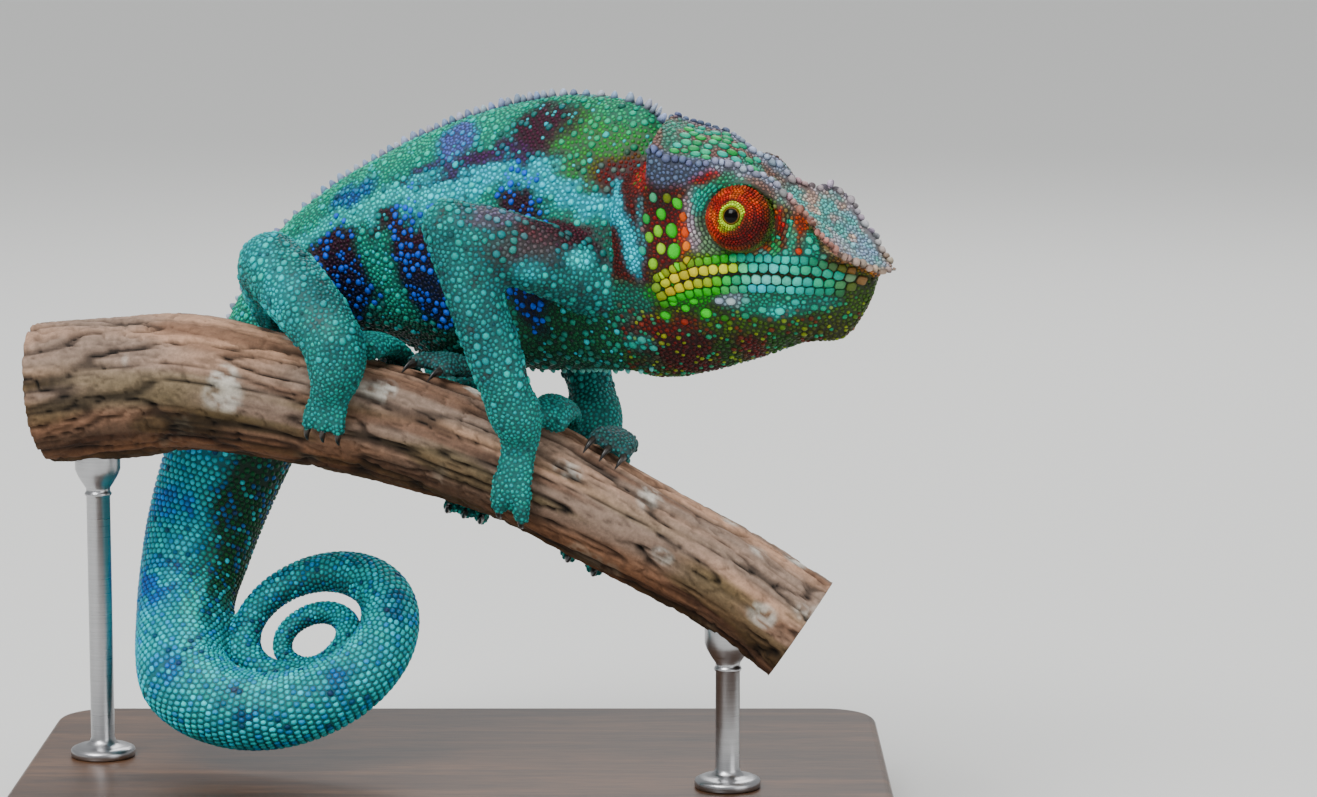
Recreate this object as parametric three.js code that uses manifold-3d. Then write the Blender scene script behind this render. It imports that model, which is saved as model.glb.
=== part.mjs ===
// A life-size male panther chameleon that grips a cut length of branch, on a plain display stand.
// Millimetres, +Z up. The origin is the middle of the stand's underside.
// +X runs along the branch towards the animal's head, and -Y is the side of its right flank.
import * as THREE from "three";
import { mergeVertices } from "three/addons/utils/BufferGeometryUtils.js";
import Module from "manifold-3d";

const wasm = await Module();
wasm.setup();

// ---- driving dimensions ----

const GAP = 0.3; // clear space between neighbouring solids

const BASE = { length: 160, depth: 96, height: 14, corner: 10, bevel: 1.5 };
const ROD = { radius: 2.2, footRadius: 6, footHeight: 2, cupRadius: 4.2, cupHeight: 5 };

// The branch's centre line and its radius at each point.
const PERCH = [
  { at: [-76.0, 7.5, 82.2], radius: 13.2 },
  { at: [-62.0, 5, 83.9], radius: 13.1 },
  { at: [-46.8, 2, 84.7], radius: 12.8 },
  { at: [-24.3, -4, 81.4], radius: 11.7 },
  { at: [-5.8, -9, 77.6], radius: 10.9 },
  { at: [12.5, -14, 71.5], radius: 10.3 },
  { at: [30.6, -17, 62.6], radius: 10.1 },
  { at: [48.6, -19, 52.9], radius: 10.1 },
  { at: [62.9, -21, 43.3], radius: 10.3 },
];
const ROD_X = { left: -66.5, right: 50 };

// The backbone from inside the head to the point where the tail starts to coil. high and wide are half
// sizes, lean is the back's tilt towards the head in degrees, keel sharpens the back and belly.
const BACKBONE = [
  { at: [42.5, -26, 113.0], high: 17.5, wide: 7.0, lean: 4, keel: 0.1 },
  { at: [35.3, -21, 113.3], high: 23.6, wide: 10.0, lean: 2.6, keel: 0.35 },
  { at: [26.3, -14, 114.7], high: 25.2, wide: 12.3, lean: 1.8, keel: 0.45 },
  { at: [15.6, -6, 113.3], high: 25.0, wide: 13.4, lean: 1.4, keel: 0.45 },
  { at: [4.8, 2, 111.6], high: 23.1, wide: 13.6, lean: 0.4, keel: 0.45 },
  { at: [-5.9, 9.5, 109.4], high: 20.1, wide: 13.2, lean: -1.6, keel: 0.4 },
  { at: [-16.0, 16.5, 106.5], high: 16.6, wide: 12.0, lean: -6, keel: 0.35 },
  { at: [-25.2, 22.5, 101.6], high: 13.6, wide: 10.4, lean: -12, keel: 0.25 },
  { at: [-31.8, 26, 93.2], high: 11.8, wide: 9.6, lean: -20, keel: 0.15 },
  { at: [-37.4, 28, 82.2], high: 11.6, wide: 9.8, lean: -32, keel: 0.1 },
  { at: [-43.6, 28, 70.4], high: 12.0, wide: 10.0, lean: -46, keel: 0.05 },
  { at: [-47.6, 26.5, 60.0], high: 11.3, wide: 10.0, lean: -58, keel: 0 },
  { at: [-50.4, 23.5, 50.0], high: 10.3, wide: 9.2, lean: -70, keel: 0 },
  { at: [-52.0, 17.5, 40.5], high: 9.2, wide: 8.3, lean: -80, keel: 0 },
];

// The tail's coil: a shrinking spiral in a plane whose top leans away from the right flank. Each turn
// drifts a little to the left flank. Half sizes are given at every quarter turn.
const COIL = {
  centre: [-29.3, 6, 39.2],
  startRadius: 24.2,
  startTurn: 192,
  endTurn: 1070,
  shrinkPerHalfTurn: 0.686,
  flatten: 0.92,
  slant: 17.5,
  leanBack: 50,
  driftPerTurn: 3.2,
  high: [8.2, 6.9, 5.2, 3.5, 2.8, 2.7, 2.5, 2.2, 1.9, 1.4, 0.8],
  wide: [7.3, 6.4, 4.8, 3.1, 2.5, 2.4, 2.2, 1.9, 1.6, 1.2, 0.7],
};

// Where the body's loft is parted, as a share of its length in stations.
const BODY_PARTS = [
  ["neck", 0, 1.5],
  ["trunk_front", 1.5, 4.2],
  ["trunk_rear", 4.2, 7.3],
  ["tail_base", 7.3, 10.2],
];
const TAIL_CUTS = [10.2, 13.5, 17.5, 21.5, 26.5, 32.5, 38.5, 46];

// The head's own frame: its origin is midway between the jaw joints.
const HEAD = { at: [38.7, -24.7, 108.5], yaw: -17, roll: 19 };

// Outlines of the head at distances forward of the jaw joint: heights, and half widths.
const HEAD_LINES = {
  forward: [-7, -3, 0.2, 1.6, 4.5, 8, 11.5, 15, 18.5, 22, 25, 27.5, 29.5, 31.5, 33.5, 35.5, 37.5, 39.5, 41.9],
  throat: [-20, -20.3, -20.1, -20, -19.4, -18.5, -17.4, -16.3, -15, -13.6, -12.4, -12, -11.9, -11.5, -10, -7.4, -3.8, 1.2, 1.3],
  throatWide: [2.4, 2.5, 2.5, 2.5, 2.4, 2.3, 2.2, 2.1, 2.1, 2.2, 2.4, 2.6, 2.7, 2.5, 2.2, 1.6, 1, 0.8, 0.3],
  pouch: [-12, -12, -11.8, -11.7, -11.4, -10.8, -10.2, -9.6, -9, -8.4, -7.8, -7.6, -7.4, -7, -6.2, -4.8, -2.9, 1.35, 1.4],
  pouchWide: [7.2, 7.4, 7.4, 7.4, 7.3, 7.1, 6.9, 6.7, 6.4, 6, 5.6, 5.1, 4.6, 4, 3.3, 2.3, 1.2, 1.2, 0.5],
  jaw: [-4, -4, -3.6, -3.2, -2.4, -1.4, -1, -0.8, -0.8, -0.9, -1.2, -1.5, -1.8, -2.1, -2.4, -2.4, -2, 1.6, 1.5],
  jawWide: [8.2, 9, 9.7, 9.9, 10, 9.9, 9.7, 9.3, 8.8, 8.1, 7.4, 6.7, 6, 5.1, 4.1, 2.8, 1.4, 1.9, 0.7],
  lip: [1, -0.2, 0, 0.7, 2.4, 3.6, 4, 4.3, 4.4, 4.1, 3.6, 3.2, 2.7, 2, 1.2, 0.3, -1, 2, 1.6],
  lipWide: [8.4, 9.4, 10.1, 10.4, 10.4, 10.2, 9.9, 9.6, 9.2, 8.5, 7.8, 7, 6.2, 5.3, 4.3, 3, 1.6, 2.4, 0.8],
  cheek: [9, 9, 9.4, 9.6, 10, 10.4, 10.6, 10.6, 10.2, 9.6, 8.8, 8, 7.3, 6.4, 5.2, 4, 2.6, 2.4, 1.7],
  cheekWide: [7.8, 9.2, 9.7, 9.8, 9.6, 8.9, 8, 7.4, 7.2, 7, 6.6, 6.1, 5.6, 5, 4.2, 3.4, 2.8, 2.9, 0.9],
  brow: [13.5, 15.5, 18, 22.8, 22.4, 21.3, 20.7, 19.6, 17.6, 15.6, 13.6, 12.6, 11.8, 9.9, 7.6, 5.6, 4.2, 2.8, 1.8],
  browWide: [7, 8.4, 8.4, 8.6, 9, 8.8, 7.8, 5.8, 4.4, 4.2, 4.4, 5.4, 7.2, 8.3, 8, 6.5, 5.3, 3.4, 1],
  rim: [15.5, 17.5, 20.5, 26.6, 25.7, 24.8, 24.3, 23.3, 21.4, 19.4, 16.8, 15.3, 14.6, 12.5, 9.8, 7.4, 5.6, 3.4, 1.9],
  rimWide: [6, 7, 7, 7.6, 8.2, 8, 7.2, 5, 3.4, 2.9, 3.4, 5.2, 7.7, 8.9, 8.5, 6.9, 5.6, 3.5, 1],
  roof: [16.5, 18.6, 21.6, 27.2, 26.2, 25.2, 24.6, 23.4, 21.3, 18.9, 15.9, 14, 12.8, 10.8, 8.5, 6.4, 4.8, 3.1, 1.9],
  roofWide: [3.5, 4.5, 4.6, 5, 5.6, 5.6, 5, 3.4, 2.1, 1.7, 2, 3.5, 5.6, 6.7, 6.4, 5, 3.9, 2.2, 0.5],
  crown: [17, 19.2, 22.2, 27.6, 27, 26, 25.2, 23.8, 21.2, 18.4, 15.3, 13.3, 12, 10, 8, 6.1, 4.7, 3, 2],
};

// The seam of the mouth and the casque's lower edge, as points forward and up in the head's frame.
const MOUTH_SEAM = [
  [-12, -5], [-1.5, -1], [1, 0.4], [3.1, 1.6], [5.9, 3], [9.5, 3.9], [16.6, 4.4], [20, 4.3],
  [25, 3.6], [30, 2.5], [33, 1.4], [36, 0], [37.6, -1.2], [46, -5],
];
const CASQUE_SEAM = [[-12, 12.5], [-3, 16.5], [1, 20.8], [8, 20.4], [12, 19.9], [15.5, 20.2], [18.5, 21.4], [21.4, 30]];

// A turret's middle in the head's frame, and how far its eyeball lies out along a gaze raised in degrees.
const EYE = { forward: 16.7, up: 13.7, out: 6.5, radius: 6.1, ballRadius: 2.6, ballOut: 4.0, gaze: 28 };

// Each leg as joints with the radius there. Toes wrap the branch at a share of its length, from a first
// to a last angle off its top, positive towards the right flank. shift carries the tips along it.
const LEGS = [
  {
    names: ["arm_upper_right", "arm_lower_right", "hand_right", "fingers_outer_right", "fingers_inner_right"],
    upper: [[30.5, -20, 105.5, 7.2], [17, -28.5, 111.2, 6.5], [4.6, -32, 115.6, 6.0]],
    lower: [[1.6, -32.3, 117, 5.4], [6.0, -31, 102.7, 5.1], [10.2, -29, 89.2, 4.9]],
    palm: [[10.6, -28.6, 87.6, 4.8], [12.4, -26.4, 82.6, 4.8], [13.0, -24.6, 79.2, 4.0]],
    outer: { x: 12, shift: 3.5, from: 42, to: 120, wide: 3.6, toes: 2 },
    inner: { x: 14.2, shift: 0.5, from: 30, to: -100, wide: 4.0, toes: 3 },
  },
  {
    names: ["arm_upper_left", "arm_lower_left", "hand_left", "fingers_outer_left", "fingers_inner_left"],
    upper: [[33.5, -3, 105, 7.2], [25.5, 7, 109.5, 6.4], [17.5, 14.5, 112.5, 6.0]],
    lower: [[16.4, 15.4, 113, 5.4], [21.2, 11.0, 99, 5.4], [25.0, 3.5, 84.2, 4.6]],
    palm: [[25.4, 2.6, 82.8, 4.7], [26.2, -1.0, 78.4, 4.9], [26.8, -4.0, 75.2, 4.0]],
    outer: { x: 23.2, shift: 5, from: -42, to: -168, wide: 4.2, toes: 2 },
    inner: { x: 24.5, shift: -0.6, from: -26, to: 20, wide: 3.8, toes: 3 },
  },
  {
    names: ["thigh_right", "shin_right", "foot_right", "toes_outer_right", "toes_inner_right"],
    upper: [[-30.0, 18, 96, 7.6], [-32.2, 5, 102.8, 7.0], [-32.8, -5, 107.6, 6.4]],
    lower: [[-32.4, -6.4, 108, 6.2], [-26.4, -14, 102.2, 6.4], [-20.4, -20.3, 95.6, 5.8]],
    palm: [[-20.1, -20.4, 95.2, 5.8], [-20.0, -19.6, 91.2, 5.5], [-20.6, -18.6, 87.8, 4.6]],
    outer: { x: -18.5, shift: -0.5, from: 40, to: 98, wide: 3.9, toes: 3 },
    inner: { x: -17, shift: 5, from: 26, to: -110, wide: 4.4, toes: 2 },
  },
  {
    names: ["thigh_left", "shin_left", "foot_left", "toes_outer_left", "toes_inner_left"],
    upper: [[-26.5, 29, 96.5, 7.2], [-18.5, 35.5, 100.5, 6.5], [-10.5, 37.5, 104, 5.9]],
    lower: [[-9.4, 37.3, 104.2, 5.6], [-5.6, 26.5, 97.5, 5.4], [-2.4, 14.6, 90.6, 4.8]],
    palm: [[-2.0, 13.2, 90, 4.9], [-0.8, 8, 86.6, 5.1], [0.2, 2.6, 84.4, 4.2]],
    outer: { x: 0.5, shift: 5, from: -44, to: -172, wide: 4.6, toes: 3 },
    inner: { x: -3.5, shift: -3, from: -26, to: 14, wide: 4.0, toes: 2 },
  },
];
const TOE = { thick: 2.4, tipThick: 1.35, tipWide: 0.94, splitAt: 0.78, fan: 1.04, clawLength: 2.8, clawRadius: 0.72 };

const SIDES = { body: 14, coil: 9, limb: 8, toe: 5, mitten: 7, perch: 14, turret: 10, ball: 8, rod: 10 };

// ---- materials ----

const material = (color, roughness, metalness = 0) => new THREE.MeshStandardMaterial({ color, roughness, metalness });
const SKIN = material(0x1f9c94, 0.6);
const PALE_CRESTS = material(0x8fa9ad, 0.65);
const THROAT_SKIN = material(0x5d6b35, 0.6);
const EYELID = material(0xa8421a, 0.55);
const EYEBALL = material(0x14100c, 0.1);
const BARK = material(0x8a6a50, 0.9);
const WALNUT = material(0x3c281b, 0.45);
const STEEL = material(0xb4b4b2, 0.3, 1);

// ---- shared shaping ----

const rad = THREE.MathUtils.degToRad;
const mix = THREE.MathUtils.lerp;
const vec = (p) => new THREE.Vector3(p[0], p[1], p[2]);

// A smooth value between the stations of a list, at a station number that needn't be whole.
function smooth(values, t) {
  const last = values.length - 1;
  const i = Math.min(last - 1, Math.max(0, Math.floor(t)));
  const [a, b, c, d] = [values[Math.max(0, i - 1)], values[i], values[i + 1], values[Math.min(last, i + 2)]];
  const x = t - i;
  return b + 0.5 * x * (c - a + x * (2 * a - 5 * b + 4 * c - d + x * (3 * (b - c) + d - a)));
}

const smoothPoint = (points, t) => vec([0, 1, 2].map((k) => smooth(points.map((p) => p[k]), t)));

// A closed three.js geometry as a manifold solid, turned the right way out.
function solid(geometry) {
  const bare = geometry.clone();
  bare.deleteAttribute("normal");
  bare.deleteAttribute("uv");
  const merged = mergeVertices(bare, 1e-4);
  const build = (triVerts) =>
    new wasm.Manifold(new wasm.Mesh({ numProp: 3, vertProperties: merged.attributes.position.array, triVerts }));
  const faces = new Uint32Array(merged.index.array);
  const made = build(faces);
  if (made.volume() > 0) return made;
  for (let i = 0; i < faces.length; i += 3) [faces[i + 1], faces[i + 2]] = [faces[i + 2], faces[i + 1]];
  return build(faces);
}

// Joins rings of points, all with the same count, into one closed solid with flat ends.
function loft(rings) {
  const around = rings[0].length;
  const positions = rings.flat().flatMap((p) => [p.x, p.y, p.z]);
  const index = [];
  for (let r = 0; r + 1 < rings.length; r++)
    for (let k = 0; k < around; k++) {
      const [a, b] = [r * around + k, r * around + ((k + 1) % around)];
      index.push(a, b, a + around, b, b + around, a + around);
    }
  const endRings = [
    { ring: rings[0], first: 0, opens: true },
    { ring: rings.at(-1), first: (rings.length - 1) * around, opens: false },
  ];
  for (const { ring, first, opens } of endRings) {
    const middle = ring.reduce((sum, p) => sum.add(p), new THREE.Vector3()).divideScalar(around);
    const centre = positions.length / 3;
    positions.push(middle.x, middle.y, middle.z);
    for (let k = 0; k < around; k++) {
      const [a, b] = [first + k, first + ((k + 1) % around)];
      index.push(...(opens ? [centre, b, a] : [centre, a, b]));
    }
  }
  const geometry = new THREE.BufferGeometry();
  geometry.setAttribute("position", new THREE.Float32BufferAttribute(positions, 3));
  geometry.setIndex(index);
  return solid(geometry);
}

// An oval ring round a point: up and out are unit vectors, keel sharpens its top and bottom.
function ovalRing({ centre, up, out, high, wide, keel = 0, sides }) {
  return Array.from({ length: sides }, (_, k) => {
    const turn = (2 * Math.PI * k) / sides;
    const across = Math.sin(turn) * Math.abs(Math.sin(turn)) ** keel;
    return centre.clone().addScaledVector(up, high * Math.cos(turn)).addScaledVector(out, wide * across);
  });
}

// All of space on the far side of a plane, as a block that is larger than the object.
function beyond(point, normal) {
  const size = 200;
  const block = new THREE.BoxGeometry(size, size, size).translate(0, 0, size / 2);
  const facing = new THREE.Quaternion().setFromUnitVectors(new THREE.Vector3(0, 0, 1), normal);
  return solid(block.applyQuaternion(facing).translate(point.x, point.y, point.z));
}

// A cut leaves only the largest piece, without slivers.
const largest = (body) => body.decompose().sort((a, b) => b.volume() - a.volume())[0];
const cutBy = (body, ...cutters) => largest(cutters.reduce((left, cutter) => left.subtract(cutter), body));

const group = new THREE.Group();
function add(name, body, look) {
  const cut = body.getMesh();
  const positions = new Float32Array(cut.numVert * 3);
  for (let i = 0; i < cut.numVert; i++)
    positions.set(cut.vertProperties.subarray(i * cut.numProp, i * cut.numProp + 3), i * 3);
  const geometry = new THREE.BufferGeometry();
  geometry.setAttribute("position", new THREE.BufferAttribute(positions, 3));
  geometry.setIndex(new THREE.BufferAttribute(new Uint32Array(cut.triVerts), 1));
  const mesh = new THREE.Mesh(geometry, look);
  mesh.name = name;
  group.add(mesh);
}

// ---- branch ----

const perchLast = PERCH.length - 1;
const perchCentre = (t) => smoothPoint(PERCH.map((p) => p.at), t);

// The bark swells a little, differently at each station and angle.
function perchRadius(t, angle) {
  const swell = 0.025 * Math.sin(2 * angle + 1.7 * t) + 0.02 * Math.sin(3 * angle - 2.3 * t + 1);
  return smooth(PERCH.map((p) => p.radius), t) * (1 + swell);
}

// The branch's frame at a station: its centre, the way along it, its top and its right-flank side.
function perchFrame(t) {
  const step = 0.05;
  const ahead = perchCentre(Math.min(perchLast, t + step));
  const along = ahead.sub(perchCentre(Math.max(0, t - step))).normalize();
  const side = along.clone().cross(new THREE.Vector3(0, 0, 1)).normalize();
  const top = side.clone().cross(along).normalize();
  return { centre: perchCentre(t), along, side, top };
}

// The way out from the branch's centre line at an angle off its top.
const perchSpoke = ({ top, side }, angle) =>
  top.clone().multiplyScalar(Math.cos(angle)).addScaledVector(side, Math.sin(angle));

// The station at which the branch reaches an x.
function perchStation(x) {
  let [low, high] = [0, perchLast];
  for (let i = 0; i < 30; i++) {
    const middle = (low + high) / 2;
    if (perchCentre(middle).x < x) low = middle;
    else high = middle;
  }
  return low;
}

function perchSolid(grow = 0) {
  const count = 14;
  const rings = [];
  for (let i = 0; i < count; i++) {
    const t = (perchLast * i) / (count - 1);
    const frame = perchFrame(t);
    rings.push(
      Array.from({ length: SIDES.perch }, (_, k) => {
        const angle = (2 * Math.PI * k) / SIDES.perch;
        return frame.centre.clone().addScaledVector(perchSpoke(frame, angle), perchRadius(t, angle) + grow);
      }),
    );
  }
  return loft(rings);
}
const perchGrown = perchSolid(GAP);
add("perch", perchSolid(), BARK);

// ---- stand: a flat wooden base and two steel rods up to the branch ----

function roundedPlate({ length, depth, height, corner, bevel }) {
  const [x, y] = [length / 2 - bevel, depth / 2 - bevel];
  const quarter = Math.PI / 2;
  const shape = new THREE.Shape();
  shape.moveTo(-x + corner, -y).lineTo(x - corner, -y).absarc(x - corner, -y + corner, corner, -quarter, 0);
  shape.lineTo(x, y - corner).absarc(x - corner, y - corner, corner, 0, quarter);
  shape.lineTo(-x + corner, y).absarc(-x + corner, y - corner, corner, quarter, 2 * quarter);
  shape.lineTo(-x, -y + corner).absarc(-x + corner, -y + corner, corner, 2 * quarter, 3 * quarter);
  return new THREE.ExtrudeGeometry(shape, {
    depth: height - 2 * bevel,
    bevelThickness: bevel,
    bevelSize: bevel,
    bevelSegments: 1,
    curveSegments: 2,
  }).translate(0, 0, bevel);
}
add("stand_base", solid(roundedPlate(BASE)), WALNUT);

// A turned rod with a flat foot, standing on the base, and a cup that the branch lies in.
function rodSolid(x) {
  const t = perchStation(x);
  const { z, y } = perchCentre(t);
  const radius = perchRadius(t, Math.PI);
  const floor = BASE.height + GAP;
  const cupStart = z - radius - ROD.cupHeight;
  const cupTop = z - radius * 0.55;
  const profile = [
    [0, floor],
    [ROD.footRadius, floor],
    [ROD.footRadius, floor + ROD.footHeight * 0.6],
    [ROD.footRadius * 0.8, floor + ROD.footHeight],
    [ROD.radius, floor + ROD.footHeight],
    [ROD.radius, cupStart],
    [ROD.cupRadius, cupStart + ROD.cupHeight * 0.7],
    [ROD.cupRadius, cupTop],
    [0, cupTop],
  ].map(([across, up]) => new THREE.Vector2(across, up));
  const turned = new THREE.LatheGeometry(profile, SIDES.rod).rotateX(Math.PI / 2);
  return cutBy(solid(turned.translate(x, y, 0)), perchGrown);
}
add("stand_rod_left", rodSolid(ROD_X.left), STEEL);
add("stand_rod_right", rodSolid(ROD_X.right), STEEL);

// ---- neck, trunk and tail ----

// Stations of the whole body: the backbone's list, then the coil in equal steps of its turn.
const coilStep = 28;
const coilStart = BACKBONE.length;
const bodyLast = coilStart + (COIL.endTurn - COIL.startTurn) / coilStep;

function coilAt(t) {
  const turn = COIL.startTurn + (t - coilStart) * coilStep;
  const radius = COIL.startRadius * COIL.shrinkPerHalfTurn ** ((turn - 180) / 180);
  const [slant, lean] = [rad(COIL.slant), rad(COIL.leanBack)];
  const right = new THREE.Vector3(Math.cos(slant), 0, Math.sin(slant));
  const up = new THREE.Vector3(-Math.sin(slant) * Math.cos(lean), Math.sin(lean), Math.cos(slant) * Math.cos(lean));
  const leftFlank = up.clone().cross(right);
  const spoke = right.multiplyScalar(Math.cos(rad(turn))).addScaledVector(up, Math.sin(rad(turn)) * COIL.flatten);
  const point = vec(COIL.centre)
    .addScaledVector(spoke, radius)
    .addScaledVector(leftFlank, (COIL.driftPerTurn * (turn - 180)) / 360);
  return { point, spoke: spoke.normalize(), quarter: (turn - 180) / 90 };
}

function bodyCentre(t) {
  if (t >= coilStart) return coilAt(t).point;
  const joined = BACKBONE.map((s) => s.at);
  for (const t of [coilStart, coilStart + 1]) joined.push(coilAt(t).point.toArray());
  return smoothPoint(joined, t);
}

// The body's cross-section at a station: half sizes, keel and the direction of the back.
function bodySection(t, grow, sides) {
  const along = bodyCentre(Math.min(bodyLast, t + 0.1)).sub(bodyCentre(Math.max(0, t - 0.1))).normalize();
  const own = (key) => smooth(BACKBONE.map((s) => s[key]), Math.min(t, coilStart - 1));
  const coiled = Math.min(1, Math.max(0, (t - coilStart + 1) / 2));
  const coil = coilAt(Math.max(coilStart, t));
  const up = new THREE.Vector3(Math.sin(rad(own("lean"))), 0, Math.cos(rad(own("lean"))));
  up.lerp(coil.spoke, coiled);
  up.addScaledVector(along, -up.dot(along)).normalize();
  return {
    centre: bodyCentre(t),
    up,
    out: along.clone().cross(up).normalize(),
    high: mix(own("high"), smooth(COIL.high, coil.quarter), coiled) + grow,
    wide: mix(own("wide"), smooth(COIL.wide, coil.quarter), coiled) + grow,
    keel: Math.max(0, own("keel")),
    sides,
  };
}

function bodySolid(from, to, grow = 0) {
  const inCoil = from >= coilStart - 1;
  const steps = Math.max(3, Math.round((to - from) * (inCoil ? 1.2 : 2)));
  const rings = [];
  for (let i = 0; i <= steps; i++)
    rings.push(ovalRing(bodySection(mix(from, to, i / steps), grow, inCoil ? SIDES.coil : SIDES.body)));
  return loft(rings);
}

// The station that lies a distance further along the body than another.
function stationAfter(t, distance) {
  const step = 0.02;
  return t + (step * distance) / bodyCentre(t + step).distanceTo(bodyCentre(t));
}

// ---- head ----

const headTurn = new THREE.Matrix4()
  .makeRotationZ(rad(HEAD.yaw))
  .multiply(new THREE.Matrix4().makeRotationX(rad(HEAD.roll)))
  .setPosition(...HEAD.at);

// A point given forward, up and out (to the right flank) in the head's frame.
const headPoint = (forward, up, out) => new THREE.Vector3(forward, -out, up).applyMatrix4(headTurn);

// One flank's outline of the head at a station, from the throat to the crown, as [out, up] pairs.
function headOutline(i) {
  const line = (name) => HEAD_LINES[name][i];
  const pair = (name) => [line(`${name}Wide`), line(name)];
  return [
    [0, line("throat")],
    [line("throatWide"), line("throat") + 0.6],
    ...["pouch", "jaw", "lip", "cheek", "brow", "rim", "roof"].map(pair),
    [0, line("crown")],
  ];
}

function headSolid(grow = 0) {
  const rings = HEAD_LINES.forward.map((forward, i) => {
    const right = headOutline(i);
    const left = right.slice(1, -1).map(([out, up]) => [-out, up]);
    const middle = (right[0][1] + right.at(-1)[1]) / 2;
    const ahead = i === 0 ? -grow : 0;
    return [...right, ...left.reverse()].map(([out, up]) =>
      headPoint(forward + ahead, up + Math.sign(up - middle) * grow, out + Math.sign(out) * grow),
    );
  });
  return loft(rings);
}

// A thin wall across the head that follows a seam seen from the side.
function seamWall(seam) {
  const halfSpan = 20;
  const lower = seam.map(([forward, up]) => new THREE.Vector2(forward, up - GAP / 2));
  const upper = seam.map(([forward, up]) => new THREE.Vector2(forward, up + GAP / 2)).reverse();
  const shape = new THREE.Shape([...lower, ...upper]);
  const wall = new THREE.ExtrudeGeometry(shape, { depth: 2 * halfSpan, bevelEnabled: false });
  return solid(wall.translate(0, 0, -halfSpan).rotateX(Math.PI / 2).applyMatrix4(headTurn));
}

// A ball that lies out from the middle of an eye turret, along the eye's gaze.
function eyeSphere(flank, radius, out, sides) {
  const middle = headPoint(EYE.forward, EYE.up, flank * EYE.out);
  const gaze = rad(EYE.gaze);
  const ahead = headPoint(EYE.forward, EYE.up + Math.sin(gaze), flank * (EYE.out + Math.cos(gaze))).sub(middle);
  const ball = new THREE.SphereGeometry(radius, sides, Math.round(sides * 0.7));
  const facing = new THREE.Quaternion().setFromUnitVectors(new THREE.Vector3(0, 1, 0), ahead);
  const centre = middle.addScaledVector(ahead, out);
  return solid(ball.applyQuaternion(facing).translate(centre.x, centre.y, centre.z));
}

for (const [name, flank] of [["right", 1], ["left", -1]]) {
  const socket = eyeSphere(flank, EYE.ballRadius + GAP, EYE.ballOut, SIDES.ball);
  add(`eyeball_${name}`, eyeSphere(flank, EYE.ballRadius, EYE.ballOut, SIDES.ball), EYEBALL);
  add(`eye_turret_${name}`, cutBy(eyeSphere(flank, EYE.radius, 0, SIDES.turret), socket), EYELID);
}

const middleHeight = (body) => (body.boundingBox().min[2] + body.boundingBox().max[2]) / 2;
const headPieces = headSolid()
  .subtract(eyeSphere(1, EYE.radius + GAP, 0, SIDES.turret))
  .subtract(eyeSphere(-1, EYE.radius + GAP, 0, SIDES.turret))
  .subtract(seamWall(MOUTH_SEAM))
  .subtract(seamWall(CASQUE_SEAM))
  .decompose()
  .sort((a, b) => b.volume() - a.volume())
  .slice(0, 3)
  .sort((a, b) => middleHeight(a) - middleHeight(b));
add("lower_jaw", headPieces[0], THROAT_SKIN);
add("cranium", headPieces[1], SKIN);
add("casque", headPieces[2], PALE_CRESTS);

const headGrown = headSolid(GAP);
for (const [name, from, to] of BODY_PARTS) {
  const start = from === 0 ? 0 : stationAfter(from, GAP / 2);
  const piece = bodySolid(start, stationAfter(to, -GAP / 2));
  add(name, name === "neck" ? cutBy(piece, headGrown) : piece, SKIN);
}
for (let i = 0; i + 1 < TAIL_CUTS.length; i++) {
  const tip = i === TAIL_CUTS.length - 2;
  const end = tip ? bodyLast : stationAfter(TAIL_CUTS[i + 1], -GAP / 2);
  add(`tail_${i + 1}`, bodySolid(stationAfter(TAIL_CUTS[i], GAP / 2), end), SKIN);
}

// ---- legs ----

// A limb's segment: a tube through three joints, rounded off at both ends.
function limbSolid(joints, grow = 0) {
  const last = joints.length - 1;
  const at = (t) => smoothPoint(joints, Math.min(last, Math.max(0, t)));
  const ring = (t, ahead, share) => {
    const radius = smooth(joints.map((j) => j[3]), t) + grow;
    const along = at(t + 0.05).sub(at(t - 0.05)).normalize();
    const out = new THREE.Vector3(0, 0, 1).cross(along).normalize();
    const up = along.clone().cross(out).normalize();
    const centre = at(t).addScaledVector(along, ahead * radius);
    return ovalRing({ centre, up, out, high: radius * share, wide: radius * share, sides: SIDES.limb });
  };
  return loft([
    ring(0, -0.85, 0.3),
    ring(0, -0.5, 0.8),
    ...[0, 0.7, 1.3, 2].map((t) => ring(t, 0, 1)),
    ring(last, 0.5, 0.8),
    ring(last, 0.85, 0.3),
  ]);
}

// The plane that halves the bend between two segments, facing the second one.
function bend(first, second) {
  const [a, b, c, d] = [first.at(-2), first.at(-1), second[0], second[1]].map(vec);
  const point = b.clone().add(c).divideScalar(2);
  const normal = b.clone().sub(a).normalize().add(d.sub(c).normalize()).normalize();
  return { point, normal };
}
const pastBend = ({ point, normal }) => beyond(point.clone().addScaledVector(normal, -GAP / 2), normal);
const beforeBend = ({ point, normal }) =>
  beyond(point.clone().addScaledVector(normal, GAP / 2), normal.clone().negate());

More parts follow.
